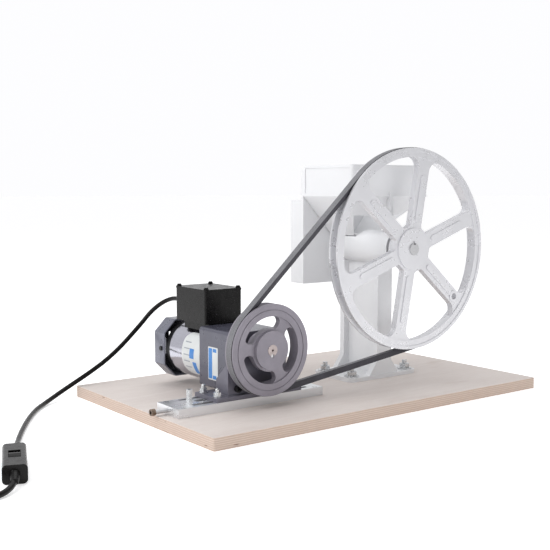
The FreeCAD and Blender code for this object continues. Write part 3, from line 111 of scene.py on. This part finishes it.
def area_light(name, place, aim, size, power):
    data = bpy.data.lights.new(name, "AREA")
    data.shape = "RECTANGLE"
    data.size, data.size_y = size
    data.energy = power
    light = bpy.data.objects.new(name, data)
    scene.collection.objects.link(light)
    light.location = place
    light.rotation_euler = (Vector(aim) - Vector(place)).to_track_quat("-Z", "Y").to_euler()


def make_studio():
    """A bright room that is dimmer on its -Y side, and a white floor that runs into it."""
    world = bpy.data.worlds.new("studio")
    scene.world = world
    world.use_nodes = True
    tree = world.node_tree
    background = tree.nodes["Background"]
    background.inputs["Color"].default_value = (0.985, 0.985, 1.0, 1)
    place = tree.nodes.new("ShaderNodeTexCoord")
    split = tree.nodes.new("ShaderNodeSeparateXYZ")
    depth = tree.nodes.new("ShaderNodeMapRange")
    depth.inputs["From Min"].default_value = -1
    depth.inputs["To Min"].default_value = ROOM_FRONT
    depth.inputs["To Max"].default_value = ROOM_BACK
    path = tree.nodes.new("ShaderNodeLightPath")
    level = tree.nodes.new("ShaderNodeMix")
    level.inputs["B"].default_value = BACKDROP
    tree.links.new(place.outputs["Generated"], split.inputs[0])
    tree.links.new(split.outputs["Y"], depth.inputs["Value"])
    tree.links.new(path.outputs["Is Camera Ray"], level.inputs["Factor"])
    tree.links.new(depth.outputs["Result"], level.inputs["A"])
    tree.links.new(level.outputs["Result"], background.inputs["Strength"])
    for light in LIGHTS:
        area_light(*light)
    bpy.ops.mesh.primitive_plane_add(size=FLOOR_SIZE, location=(0, 0, -FLOOR_DROP))
    floor = bpy.context.object
    floor.name = "floor"
    paint = Nodes("floor_paper")
    fibre = paint.noise(paint.place(), 40, 3)
    paint.set(Roughness=0.85, Emission_Color=(1, 1, 1, 1), Emission_Strength=FLOOR_GLOW,
              Specular_IOR_Level=0.1)
    floor.data.materials.append(paint.finish(paint.ramp(fibre, [(0.3, 0.93), (0.7, 0.95)])))
    scene.view_settings.view_transform = "Standard"
    scene.view_settings.look = "None"
    scene.view_settings.exposure = 0.0


# ---- materials -------------------------------------------------------------------------------
class Nodes:
    """Short ways to build one material's nodes."""

    def __init__(self, name):
        self.material = bpy.data.materials.new(name)
        self.material.use_nodes = True
        self.tree = self.material.node_tree
        self.shader = self.tree.nodes["Principled BSDF"]

    def set(self, **values):
        for key, value in values.items():
            self.shader.inputs[key.replace("_", " ")].default_value = value

    def node(self, kind, **settings):
        node = self.tree.nodes.new(kind)
        for key, value in settings.items():
            setattr(node, key, value)
        return node

    def link(self, out, into):
        self.tree.links.new(out, into)

    def place(self, scale=(1, 1, 1), turn=(0, 0, 0)):
        """Object coordinates in metres, stretched."""
        coords = self.node("ShaderNodeTexCoord")
        mapping = self.node("ShaderNodeMapping")
        mapping.inputs["Scale"].default_value = scale
        mapping.inputs["Rotation"].default_value = turn
        self.link(coords.outputs["Object"], mapping.inputs["Vector"])
        return mapping.outputs["Vector"]

    def noise(self, vector, scale, detail=3, roughness=0.55, distortion=0):
        node = self.node("ShaderNodeTexNoise")
        node.inputs["Scale"].default_value = scale
        node.inputs["Detail"].default_value = detail
        node.inputs["Roughness"].default_value = roughness
        node.inputs["Distortion"].default_value = distortion
        self.link(vector, node.inputs["Vector"])
        return node.outputs["Fac"]

    def ramp(self, value, stops):
        """Colours or greys along a value from 0 to 1."""
        node = self.node("ShaderNodeValToRGB")
        elements = node.color_ramp.elements
        while len(elements) < len(stops):
            elements.new(0.5)
        for element, (position, colour) in zip(elements, stops):
            element.position = position
            element.color = (*colour, 1) if isinstance(colour, tuple) else (colour,) * 3 + (1,)
        self.link(value, node.inputs["Fac"])
        return node.outputs["Color"]

    def mix(self, amount, one, two, blend="MIX"):
        node = self.node("ShaderNodeMix", data_type="RGBA", blend_type=blend)
        for socket, value in ((node.inputs[0], amount), (node.inputs[6], one), (node.inputs[7], two)):
            if isinstance(value, tuple):
                socket.default_value = (*value, 1)
            elif isinstance(value, (int, float)):
                socket.default_value = value
            else:
                self.link(value, socket)
        return node.outputs[2]

    def maths(self, operation, one, two=None):
        node = self.node("ShaderNodeMath", operation=operation)
        for socket, value in zip(node.inputs, (one, two)):
            if isinstance(value, (int, float)):
                socket.default_value = value
            elif value is not None:
                self.link(value, socket)
        return node.outputs[0]

    def bump(self, height, strength, distance):
        node = self.node("ShaderNodeBump")
        node.inputs["Strength"].default_value = strength
        node.inputs["Distance"].default_value = distance
        self.link(height, node.inputs["Height"])
        return node.outputs["Normal"]

    def finish(self, colour=None, roughness=None, normal=None):
        if colour is not None:
            self.link(colour, self.shader.inputs["Base Color"])
        if roughness is not None:
            self.link(roughness, self.shader.inputs["Roughness"])
        if normal is not None:
            self.link(normal, self.shader.inputs["Normal"])
        return self.material


def scaled(colour, factor):
    return tuple(min(1.0, channel * factor) for channel in colour)


def coated(name, colour, rough=0.4, metal=0.0, spread=0.06, cloud=14, grain=900, grain_deep=0.00006,
           strength=0.35, stretch=(1, 1, 1), coat=0.0, rough_spread=0.08, shine=0.5):
    """A painted, cast, machined or moulded surface: clouded colour, uneven gloss and fine grain."""
    n = Nodes(name)
    vector = n.place(stretch)
    tone = n.ramp(n.noise(vector, cloud, 5, 0.6), [(0.3, scaled(colour, 1 - spread)),
                                                  (0.7, scaled(colour, 1 + spread))])
    gloss = n.ramp(n.noise(vector, cloud * 2.3, 4), [(0.3, max(0.02, rough - rough_spread)),
                                                    (0.7, min(1.0, rough + rough_spread))])
    normal = n.bump(n.noise(vector, grain, 2), strength, grain_deep)
    n.set(Metallic=metal, Coat_Weight=coat, Coat_Roughness=0.08, Specular_IOR_Level=shine)
    return n.finish(tone, gloss, normal)


def plywood():
    """Pale birch: long faint grain on the face, and uneven thin plies on every edge."""
    n = Nodes("birch_plywood")
    broad = n.noise(n.place((1.5, 8, 8)), 5.0, 5, 0.6, 0.7)
    fine = n.noise(n.place((3.0, 30, 30)), 24, 6, 0.7, 0.3)
    face = n.ramp(broad, [(0.25, (0.62, 0.55, 0.52)), (0.5, (0.68, 0.62, 0.59)),
                          (0.8, (0.74, 0.69, 0.665))])
    face = n.mix(0.3, face, n.ramp(fine, [(0.3, (0.55, 0.47, 0.42)), (0.7, (0.74, 0.69, 0.65))]))
    knots = n.ramp(n.noise(n.place((2.2, 7, 7)), 2.6, 2), [(0.7, 0.0), (0.78, 0.25)])
    face = n.mix(knots, face, (0.46, 0.36, 0.30))
    place = n.node("ShaderNodeTexCoord")
    split = n.node("ShaderNodeSeparateXYZ")
    n.link(place.outputs["Object"], split.inputs[0])
    wobble = n.maths("MULTIPLY", n.noise(n.place((9, 9, 1)), 2.5, 4), 0.0022)
    height = n.maths("ADD", split.outputs["Z"], wobble)
    plies = n.maths("FRACT", n.maths("MULTIPLY", height, 1 / PLY))
    line = n.ramp(plies, [(0.0, (0.42, 0.29, 0.22)), (0.09, (0.60, 0.49, 0.42)), (0.45, (0.70, 0.61, 0.55)),
                          (0.56, (0.52, 0.40, 0.33)), (0.93, (0.58, 0.47, 0.40)), (1.0, (0.42, 0.29, 0.22))])
    edge_grain = n.noise(n.place((6, 6, 260)), 14, 5, 0.7)
    streaks = n.ramp(edge_grain, [(0.3, (0.5, 0.4, 0.34)), (0.6, (0.95, 0.9, 0.86))])
    line = n.mix(0.4, line, streaks, "MULTIPLY")
    voids = n.ramp(n.noise(n.place((14, 14, 90)), 2.2, 2), [(0.70, 0.0), (0.75, 0.8)])
    line = n.mix(voids, line, (0.16, 0.08, 0.05))
    geometry = n.node("ShaderNodeNewGeometry")
    normal_split = n.node("ShaderNodeSeparateXYZ")
    n.link(geometry.outputs["True Normal"], normal_split.inputs[0])
    level = n.maths("GREATER_THAN", n.maths("ABSOLUTE", normal_split.outputs["Z"]), 0.6)
    colour = n.mix(level, line, face)
    normal = n.bump(fine, 0.2, 0.0002)
    gloss = n.ramp(broad, [(0.3, 0.5), (0.7, 0.64)])
    n.set(Specular_IOR_Level=0.3)
    return n.finish(colour, gloss, normal)


def screw_metal():
    """Bright steel thread with a dark bronze head at the rail's free end."""
    n = Nodes("adjusting_screw_metal")
    vector = n.place()
    split = n.node("ShaderNodeSeparateXYZ")
    n.link(n.place(), split.inputs[0])
    head_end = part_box("adjusting_screw")[0][0] + SCREW_HEAD
    head = n.maths("LESS_THAN", split.outputs["X"], head_end)
    turns = n.maths("FRACT", n.maths("MULTIPLY", split.outputs["X"], 1 / SCREW_PITCH))
    clouds = n.noise(vector, 160, 4)
    steel = n.ramp(clouds, [(0.3, (0.50, 0.50, 0.51)), (0.7, (0.62, 0.62, 0.63))])
    bronze = n.ramp(clouds, [(0.3, (0.12, 0.09, 0.07)), (0.7, (0.24, 0.18, 0.14))])
    n.set(Metallic=1.0)
    return n.finish(n.mix(head, steel, bronze), n.ramp(clouds, [(0.3, 0.25), (0.7, 0.38)]),
                    n.bump(turns, 0.6, 0.0002))


def brushed(name, colour, rough, along, metal=1.0):
    """Drawn or brushed metal: long fine scratches along one axis."""
    stretch = {"x": (0.04, 1, 1), "y": (1, 0.04, 1), "z": (1, 1, 0.04)}[along]
    n = Nodes(name)
    scratches = n.noise(n.place(stretch), 1600, 4, 0.7)
    clouds = n.noise(n.place(), 18, 4)
    tone = n.mix(0.5, n.ramp(clouds, [(0.3, scaled(colour, 0.9)), (0.7, scaled(colour, 1.08))]),
                 n.ramp(scratches, [(0.3, scaled(colour, 0.86)), (0.7, scaled(colour, 1.1))]))
    gloss = n.ramp(scratches, [(0.25, max(0.03, rough - 0.08)), (0.75, rough + 0.1)])
    n.set(Metallic=metal)
    return n.finish(tone, gloss, n.bump(scratches, 0.25, 0.00003))


def belt_rubber():
    """Dark rubber sides; the outer cloth is a worn grey with a fine weave."""
    n = Nodes("belt_rubber")
    vector = n.place()
    weave = n.noise(n.place((1, 0.5, 1)), 1500, 2)
    wear = n.noise(vector, 60, 4, 0.6)
    geometry = n.node("ShaderNodeNewGeometry")
    split = n.node("ShaderNodeSeparateXYZ")
    n.link(geometry.outputs["True Normal"], split.inputs[0])
    side = n.maths("GREATER_THAN", n.maths("ABSOLUTE", split.outputs["Y"]), 0.5)
    outer = n.mix(0.5, n.ramp(wear, [(0.3, (0.11, 0.11, 0.12)), (0.7, (0.2, 0.2, 0.215))]),
                  n.ramp(weave, [(0.35, (0.08, 0.08, 0.09)), (0.65, (0.27, 0.27, 0.285))]))
    flank = n.ramp(wear, [(0.3, (0.03, 0.028, 0.036)), (0.7, (0.055, 0.052, 0.064))])
    colour = n.mix(side, outer, flank)
    return n.finish(colour, n.ramp(wear, [(0.3, 0.55), (0.7, 0.72)]), n.bump(weave, 0.5, 0.0001))


def make_materials():
    """One material for each of the record's slots."""
    return {
        "plywood": plywood(),
        "white_paint": coated("white_powder_coat", (0.78, 0.785, 0.80), 0.34, 0, 0.012, 9, 520, 0.00009, 0.3,
                              coat=0.2, rough_spread=0.03),
        "wheel_paint": coated("silver_wheel_paint", (0.70, 0.70, 0.725), 0.3, 0.45, 0.03, 22, 620, 0.00012,
                              0.45, coat=0.2),
        "sheave_cast": coated("mauve_grey_casting", (0.25, 0.232, 0.27), 0.36, 0.15, 0.1, 40, 700, 0.0001,
                              0.45),
        "zinc": coated("zinc_plate", (0.62, 0.63, 0.64), 0.27, 1, 0.1, 120, 1800, 0.00003, 0.3),
        "steel": brushed("machined_steel", (0.56, 0.56, 0.57), 0.3, "y"),
        "black_steel": coated("black_oxide", (0.012, 0.012, 0.014), 0.4, 0.3, 0.15, 150, 1600, 0.00003,
                              shine=0.35),
        "burr_iron": coated("ground_iron", (0.3, 0.3, 0.31), 0.42, 0.9, 0.12, 60, 900, 0.00008),
        "rail_aluminium": coated("extruded_aluminium", (0.78, 0.79, 0.81), 0.3, 0.85, 0.04, 12, 900, 0.00004,
                                 0.3, stretch=(0.05, 1, 1)),
        "bracket_paint": coated("bracket_grey", (0.15, 0.145, 0.18), 0.36, 0.2, 0.08, 45, 800, 0.00008, 0.4),
        "gear_paint": coated("gearhead_grey", (0.075, 0.075, 0.105), 0.32, 0.15, 0.1, 30, 900, 0.00007, 0.4,
                             coat=0.25),
        "barrel_polish": brushed("polished_barrel", (0.52, 0.52, 0.58), 0.13, "y"),
        "cap_cast": coated("cast_end_cap", (0.17, 0.175, 0.22), 0.32, 0.5, 0.08, 30, 850, 0.00008, 0.4,
                           coat=0.3),
        "black_plastic": coated("black_moulding", (0.0035, 0.003, 0.003), 0.26, 0, 0.25, 60, 1300, 0.00006,
                                0.45, shine=0.2),
        "belt_rubber": belt_rubber(),
        "cord_pvc": coated("black_cord_sheath", (0.0035, 0.003, 0.003), 0.3, 0, 0.2, 70, 1500, 0.00003,
                           0.3, shine=0.2),
        "brass": screw_metal(),
        "copper": coated("winding_copper", (0.4, 0.16, 0.07), 0.35, 0.8, 0.15, 200, 2600, 0.0001, 0.6),
        "capacitor_can": brushed("drawn_can", (0.62, 0.62, 0.65), 0.3, "y"),
        "shaft_gold": coated("passivated_shaft", (0.42, 0.36, 0.35), 0.34, 0.85, 0.2, 160, 1500, 0.00005),
    }


def dress_nodes(table):
    """Every CAD node gets its material, eased edges and smooth curved faces."""
    slots = {part["node"]: part["material_slot"] for part in frame["record"]["subparts"]}
    for name, node in frame["nodes"].items():
        node.data.materials.clear()
        node.data.materials.append(table[slots[name]])
        for polygon in node.data.polygons:
            polygon.material_index = 0
            polygon.use_smooth = True
        weld = node.modifiers.new("weld", "WELD")
        weld.merge_threshold = WELD_DISTANCE
        bevel = node.modifiers.new("ease", "BEVEL")
        bevel.width = EASE.get(name, EASE_USUAL) * MM
        bevel.segments = 2
        bevel.limit_method = "ANGLE"
        bevel.angle_limit = math.radians(EASE_ANGLE)
        bevel.harden_normals = True
        bevel.use_clamp_overlap = True
        flat = node.modifiers.new("flat_faces", "WEIGHTED_NORMAL")
        flat.keep_sharp = True
        flat.weight = 90


# ---- mains cord ------------------------------------------------------------------------------
CORD_DIAMETER = 7 * MM
CORD_ROUTE = [
    (-172, 116.5, 151), (-172, 129.5, 151), (-174.6, 143.9, 147.8), (-179.6, 156.6, 141.6),
    (-186.6, 166.6, 132.9), (-195, 173.2, 122.4), (-204.9, 176, 110.1), (-223.5, 177, 92.2),
    (-244.5, 179, 72.3), (-267.3, 182, 54.1), (-290, 185, 39.6), (-311.9, 187.5, 27.3),
    (-336.8, 186, 15.5), (-359, 178, 7.5), (-381.9, 160, 3.6), (-403, 136, 3.6), (-423, 107, 3.6),
    (-441, 78, 3.6), (-457, 50, 3.6), (-473, 21, 3.6), (-488, -8, 3.6), (-502, -37, 4.5),
    (-514, -62, 8.3), (-524, -86, 11),
]
TAIL_ROUTE = [
    (-557.1, -171.8, 11), (-562.8, -186, 9), (-572.3, -198.5, 5.4), (-586.5, -208, 3.7),
    (-604, -212.8, 3.7), (-621, -213.8, 3.7), (-636, -213.4, 3.7),
]
PLUG_ROUTE = [(-689, -166, 3.7), (-689, -150, 3.7), (-688, -133, 4.2), (-684, -116, 7.5),
              (-677, -100, 12.5)]
COIL_CENTRE = (-644, -168)
COIL_OUTER = 45.3
COIL_TURN_POINTS = 16
COIL_LOW, COIL_HIGH = 3.6, 10.7  # heights of the two layers
COIL_TURNS = 4.25
COIL_DOWN_TURNS, COIL_CLIMB = 2.0, 0.4  # turns in the lower layer, and the part turn that climbs
COIL_IN, COIL_OUT = 7.05, 7.2  # the spiral's step inwards, and then outwards


def coil_points():
    """A flat spiral inwards on the floor, then one outwards on top of it, clockwise from above."""
    cx, cy = COIL_CENTRE
    points = []
    for i in range(int(COIL_TURNS * COIL_TURN_POINTS) + 1):
        turn = i / COIL_TURN_POINTS
        radius = COIL_OUTER - COIL_IN * min(turn, COIL_DOWN_TURNS)
        radius += COIL_OUT * max(0, turn - COIL_DOWN_TURNS - COIL_CLIMB)
        rise = min(1, max(0, (turn - COIL_DOWN_TURNS) / COIL_CLIMB))
        level = COIL_LOW + (COIL_HIGH - COIL_LOW) * (0.5 - 0.5 * math.cos(math.pi * rise))
        angle = math.radians(-90) - 2 * math.pi * turn
        points.append((cx + radius * math.cos(angle), cy + radius * math.sin(angle), level))
    return points


def cord_curve(name, points):
    curve = bpy.data.curves.new(name, "CURVE")
    curve.dimensions = "3D"
    spline = curve.splines.new("NURBS")
    spline.points.add(len(points) - 1)
    for point, place in zip(spline.points, points):
        point.co = (*(c * MM for c in place), 1)
    spline.order_u = 3
    spline.use_endpoint_u = True
    spline.resolution_u = 8
    curve.bevel_depth = CORD_DIAMETER / 2
    curve.bevel_resolution = 6
    curve.use_fill_caps = True
    piece = bpy.data.objects.new(name, curve)
    scene.collection.objects.link(piece)
    return piece


def make_cords(table):
    cord = cord_curve("mains_cord_line", CORD_ROUTE)
    cord.data.materials.append(table["cord_pvc"])
    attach(cord, "base")
    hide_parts("mains_cord")
    tail = cord_curve("switch_to_plug_line", TAIL_ROUTE[:-1] + coil_points() + PLUG_ROUTE[1:])
    tail.data.materials.append(table["cord_pvc"])
    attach(tail, "base")
    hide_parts("mains_cord_tail", "cord_coil")


# ---- labels, sleeves and the plug ------------------------------------------------------------
LABEL_CORNER_STEPS = 6
LABEL_CUT = 2.5  # length of the divisions along a label's straight sides, in mm
SECTION_POINTS = 32
SLEEVE_STEPS = 22
SLEEVE_RIB = 0.55  # depth of the grooves between a sleeve's ribs, in mm
PLUG_HEADING = (0.376, 0.926, 0)
PLUG_SECTIONS = (  # along the plug, half width and half height, in mm
    (0, 6.5, 6.5), (0.8, 7.2, 7.2), (5, 8.2, 8.2), (8, 8.0, 8.0), (11, 8.8, 8.8), (14, 8.5, 8.5),
    (17, 9.6, 9.4), (20, 9.3, 9.1), (24, 11.2, 10.8), (29, 12.2, 12.0), (36.6, 12.3, 12.2),
    (37.6, 11.8, 11.8), (38, 11.0, 11.0),
)


def add_piece(name, points, faces, material, body, sharp=40):
    """A mesh piece in the shared frame, with millimetre points, that rides on a body."""
    mesh = bpy.data.meshes.new(name)
    mesh.from_pydata([[c * MM for c in point] for point in points], [], faces)
    mesh.validate()
    mesh.shade_smooth()
    mesh.set_sharp_from_angle(angle=math.radians(sharp))
    mesh.materials.append(material)
    piece = bpy.data.objects.new(name, mesh)
    scene.collection.objects.link(piece)
    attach(piece, body)
    return piece


def patch(name, half_long, half_high, corner, lay, material, body, lift=0.3):
    """A thin sheet with rounded corners and a rolled edge; lay(u, v, lift) puts its points in place."""
    outline = []
    for cx, cy, start in ((1, 1, 0), (-1, 1, 90), (-1, -1, 180), (1, -1, 270)):
        for i in range(LABEL_CORNER_STEPS + 1):
            angle = math.radians(start + 90 // LABEL_CORNER_STEPS * i)
            outline.append((cx * (half_long - corner) + corner * math.cos(angle),
                            cy * (half_high - corner) + corner * math.sin(angle)))
    # the straight sides are divided too, so that they follow a curved surface
    fine = []
    for (u, v), (u_next, v_next) in zip(outline, outline[1:] + outline[:1]):
        cuts = max(1, round(math.hypot(u_next - u, v_next - v) / LABEL_CUT))
        fine += [(u + (u_next - u) * k / cuts, v + (v_next - v) * k / cuts) for k in range(cuts)]
    outline = fine
    # rings from the foot of the edge over the rolled rim to the middle
    rings = [(1.0, 0.02), (1.0, lift * 0.6), (0.99, lift)] + [(k / 8, lift) for k in range(7, 0, -1)]
    points, faces = [], []
    for shrink, height in rings:
        points += [lay(u * shrink, v * shrink, height) for u, v in outline]
    count = len(outline)
    for ring in range(len(rings) - 1):
        for i in range(count):
            j = (i + 1) % count
            faces.append((ring * count + i, ring * count + j, (ring + 1) * count + j,
                          (ring + 1) * count + i))
    faces.append(tuple(range((len(rings) - 1) * count, len(rings) * count)))
    return add_piece(name, points, faces, material, body)


def on_barrel(middle_y, middle_turn):
    """Places on the barrel's side: u along the shaft, v round it from the side that faces -X."""
    cx, cz = BARREL.x / MM, BARREL.z / MM
    radius = BARREL_RADIUS

    def lay(u, v, lift):
        turn = math.radians(180 - middle_turn) - v / radius
        return (cx + (radius + lift) * math.cos(turn), middle_y + u, cz + (radius + lift) * math.sin(turn))
    return lay


def on_gearhead(middle_y, middle_z):
    """Places on the gearhead's side that faces -X: u along the shaft, v upwards."""
    def lay(u, v, lift):
        return (GEARHEAD_LOW.x / MM - lift, middle_y + u, middle_z + v)
    return lay


def make_labels():
    """Blank labels in the places and colours of the real ones."""
    paper = coated("label_paper", (0.64, 0.66, 0.66), 0.35, 0, 0.03, 60, 900, 0.00003, 0.3, coat=0.2)
    blue = coated("label_blue", (0.03, 0.2, 0.55), 0.35, 0, 0.08, 80, 900, 0.00003, 0.3, coat=0.2)
    grey = coated("label_grey", (0.3, 0.32, 0.36), 0.4, 0, 0.08, 80, 900, 0.00003, 0.3)
    patch("barrel_label", 25, 35, 16, on_barrel(33, 2), paper, "motor_carriage")
    patch("barrel_label_blue_top", 6, 7.5, 1.2, on_barrel(30, 4), blue, "motor_carriage", 0.45)
    patch("barrel_label_blue_low", 5, 10, 1.2, on_barrel(24, -26), blue, "motor_carriage", 0.45)
    for i in range(5):
        patch(f"barrel_label_row_{i}", 8, 0.8, 0.35, on_barrel(44, 26 - 13 * i), grey,
              "motor_carriage", 0.42)
    patch("gearhead_label", 12.5, 24, 1.2, on_gearhead(-30, 73), paper, "motor_carriage")
    patch("gearhead_label_blue", 4.6, 22, 0.8, on_gearhead(-23.5, 73), blue, "motor_carriage",
          0.45)
    for i, z in enumerate((92.5, 53.5)):
        patch(f"gearhead_label_blue_end_{i}", 4.5, 2.6, 0.6, on_gearhead(-34.5, z), blue,
              "motor_carriage", 0.45)


def tube_rings(name, route, half_sizes, material, body, power=2.0):
    """A closed body along a route: one rounded section (half width, half height) at each place."""
    places = [Vector(place) for place in route]
    points, faces = [], []
    count = SECTION_POINTS
    for i, (place, (wide, high)) in enumerate(zip(places, half_sizes)):
        ahead = (places[min(i + 1, len(places) - 1)] - places[max(i - 1, 0)]).normalized()
        side = ahead.cross(Vector((0, 0, 1))).normalized()
        up = side.cross(ahead)
        for k in range(count):
            angle = 2 * math.pi * k / count
            c, q = math.cos(angle), math.sin(angle)
            across = math.copysign(abs(c) ** (2 / power), c) * wide
            lift = math.copysign(abs(q) ** (2 / power), q) * high
            points.append(tuple(place + side * across + up * lift))
    for ring in range(len(places) - 1):
        for k in range(count):
            m = (k + 1) % count
            faces.append((ring * count + k, (ring + 1) * count + k, (ring + 1) * count + m, ring * count + m))
    faces.append(tuple(range(count)))
    faces.append(tuple(reversed(range((len(places) - 1) * count, len(places) * count))))
    return add_piece(name, points, faces, material, body, 30)


def sleeve(name, start, heading, long, wide, narrow, material):
    """A tapered ribbed strain relief over the cord."""
    start, heading = Vector(start), Vector(heading).normalized()
    route, sizes = [], []
    for i in range(SLEEVE_STEPS + 1):
        part = i / SLEEVE_STEPS
        radius = wide + (narrow - wide) * part
        if i in (0, SLEEVE_STEPS):
            radius -= 0.5
        elif i % 4 in (2, 3):
            radius -= SLEEVE_RIB
        route.append(tuple(start + heading * long * part))
        sizes.append((radius, radius))
    return tube_rings(name, route, sizes, material, "base")


def make_plug_and_sleeves(table):
    black = table["black_plastic"]
    first, second = Vector(CORD_ROUTE[-1]), Vector(CORD_ROUTE[-2])
    sleeve("switch_sleeve_in", first, second - first, 24, 6.2, 4.2, black)
    first, second = Vector(TAIL_ROUTE[0]), Vector(TAIL_ROUTE[1])
    sleeve("switch_sleeve_out", first, second - first, 20, 6.0, 4.1, black)
    end, before = Vector(PLUG_ROUTE[-1]), Vector(PLUG_ROUTE[-2])
    sleeve("plug_sleeve", end, before - end, 20, 6.4, 4.2, black)
    ahead = Vector(PLUG_HEADING).normalized()
    route, sizes = [], []
    for along, wide, high in PLUG_SECTIONS:
        route.append(tuple(end + ahead * along))
        sizes.append((wide, high))
    plug = tube_rings("plug_moulding", route, sizes, black, "base", 3.2)
    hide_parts("plug_body")


table = make_materials()
make_camera()
make_studio()
dress_nodes(table)
make_cords(table)
make_labels()
make_plug_and_sleeves(table)
